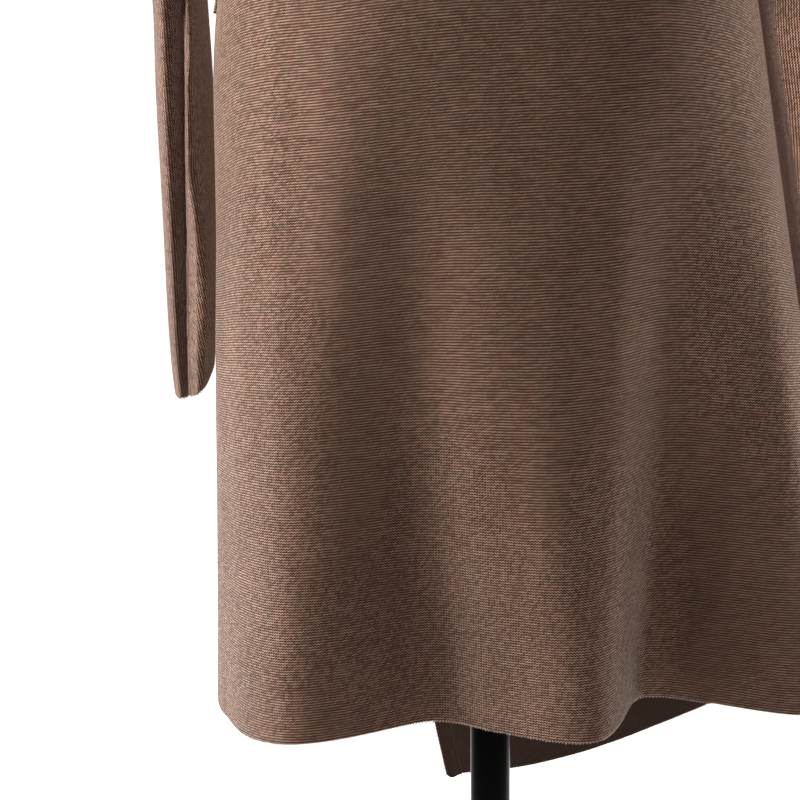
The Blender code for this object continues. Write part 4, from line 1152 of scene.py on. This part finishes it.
formTorso = makeForm()
finishPiece(formTorso, "form_cover", "form_torso")
neckCap = turned("neckCap", standShape["cap"], blackSatin, "form_neck_cap")
standFlange = turned("standFlange", standShape["flange"], blackSatin, "stand_flange")
standPole = turned("standPole", standShape["pole"], blackEnamel, "stand_pole")
standSocket = turned("standSocket", standShape["socket"], blackEnamel, "stand_socket", ring=True)
standBase = turned("standBase", standShape["base"], blackEnamel, "stand_base")
print("form and stand turned")


# floor, light and camera
studio = {
    "floorRadius": 40.0, "floorTone": 0.86, "floorGlow": 0.75, "floorDrop": 0.0002,
    "backLight": 1.00, "frontLight": 0.092, "aim": (0.0, 0.0, 0.72),
    # softboxes: place, size, power
    "key": ((1.32, 0.04, 1.80), (0.6, 1.4), 91.0),
    "rim": ((-1.65, -0.80, 1.2), (0.8, 1.6), 72.0),
    "sleeve": ((-0.20, 1.95, 1.1), (0.4, 1.0), 50.0),
    "side": ((-1.92, 0.12, 1.15), (0.4, 1.6), 8.0),
    "edge": ((1.30, 0.45, 0.40), (0.4, 0.4), 26.0),
}


def makeFloor():
    form = bmesh.new()
    bmesh.ops.create_circle(form, cap_ends=True, segments=96, radius=studio["floorRadius"])
    mesh = bpy.data.meshes.new("studioFloor")
    form.to_mesh(mesh)
    form.free()
    made, tree, shader = startLook("paleFloor")
    tone = studio["floorTone"]
    grain = noiseOf(tree, placeOf(tree), 3.0, 3.0)
    colour = blendOf(tree, grain, (tone, tone, tone, 1.0), (tone * 0.98, tone * 0.98, tone * 0.975, 1.0))
    # the sweep glows behind the dress only
    behind = splitOf(tree, placeOf(tree))[1]
    feed(tree, shader, {
        "Base Color": colour, "Roughness": 0.8, "Emission Color": (1.0, 1.0, 1.0, 1.0),
        "Emission Strength": spread(tree, behind, -0.30, -1.00, 0.0, studio["floorGlow"]),
    })
    floor = addPiece("studioFloor", mesh, made)
    floor.location = (0.0, 0.0, -studio["floorDrop"])


def makeWorld():
    # a bright sweep behind the dress and a dimmer room in front of it
    world = bpy.data.worlds.new("studioWorld")
    bpy.context.scene.world = world
    world.use_nodes = True
    tree = world.node_tree
    behind = splitOf(tree, placeOf(tree, "Generated"))[1]
    strength = spread(tree, behind, -0.45, -0.12, studio["backLight"], studio["frontLight"])
    feed(tree, tree.nodes["Background"], {"Color": (1.0, 1.0, 1.0, 1.0), "Strength": strength})


def makeLamp(name):
    place, size, power = studio[name]
    light = bpy.data.lights.new(name + "Softbox", "AREA")
    light.shape = "RECTANGLE"
    light.size, light.size_y = size
    light.energy = power
    lamp = bpy.data.objects.new(name + "Softbox", light)
    bpy.context.scene.collection.objects.link(lamp)
    lamp.location = place
    lamp.visible_camera = False
    lamp.rotation_euler = (Vector(studio["aim"]) - Vector(place)).to_track_quat("-Z", "Y").to_euler()
    return lamp


def letPast(lamp, piece):
    # the sleeve hangs close to the skirt and would shade its edge from this lamp
    group = bpy.data.collections.new(lamp.name + "Passes")
    lamp.light_linking.blocker_collection = group
    group.objects.link(piece)
    group.collection_objects[0].light_linking.link_state = "EXCLUDE"


def lightOnly(lamp, *pieces):
    group = bpy.data.collections.new(lamp.name + "Lights")
    lamp.light_linking.receiver_collection = group
    for piece in pieces:
        group.objects.link(piece)


cameraPlace = {   # metres, degrees, millimetres
    "across": 0.03, "back": 1.70, "height": 1.03, "down": 12.0, "turn": 0.8654, "roll": -0.4,
    "lens": 126.72, "sensor": 36.0,
}


def makeCamera():
    pitch, roll = math.radians(cameraPlace["down"]), math.radians(cameraPlace["roll"])
    turn = Matrix.Rotation(math.radians(cameraPlace["turn"]), 3, "Z")
    ahead = turn @ Vector((0.0, -math.cos(pitch), -math.sin(pitch)))
    right = turn @ Vector((-1.0, 0.0, 0.0))
    up = right.cross(ahead)
    right, up = math.cos(roll) * right + math.sin(roll) * up, math.cos(roll) * up - math.sin(roll) * right
    view = Matrix((right, up, -ahead)).transposed().to_4x4()
    view.translation = (cameraPlace["across"], cameraPlace["back"], cameraPlace["height"])
    data = bpy.data.cameras.new("photoCamera")
    data.sensor_width = cameraPlace["sensor"]
    data.lens = cameraPlace["lens"]
    camera = bpy.data.objects.new("photoCamera", data)
    bpy.context.scene.collection.objects.link(camera)
    camera.matrix_world = view
    bpy.context.scene.camera = camera


makeFloor()
makeWorld()
keyLamp, rimLamp, sleeveLamp, sideLamp = (makeLamp(name) for name in ("key", "rim", "sleeve", "side"))
letPast(keyLamp, sleeveLeft)
letPast(rimLamp, sleeveRight)
letPast(sideLamp, sleeveRight)
lightOnly(sleeveLamp, sleeveRight, sleeveSeamRight, cuffLoopsRight)
lightOnly(makeLamp("edge"), frontEdgeLoops, overHemLoops)
makeCamera()
bpy.context.scene.view_settings.view_transform = "Standard"
print("studio set")

bpy.context.view_layer.update()
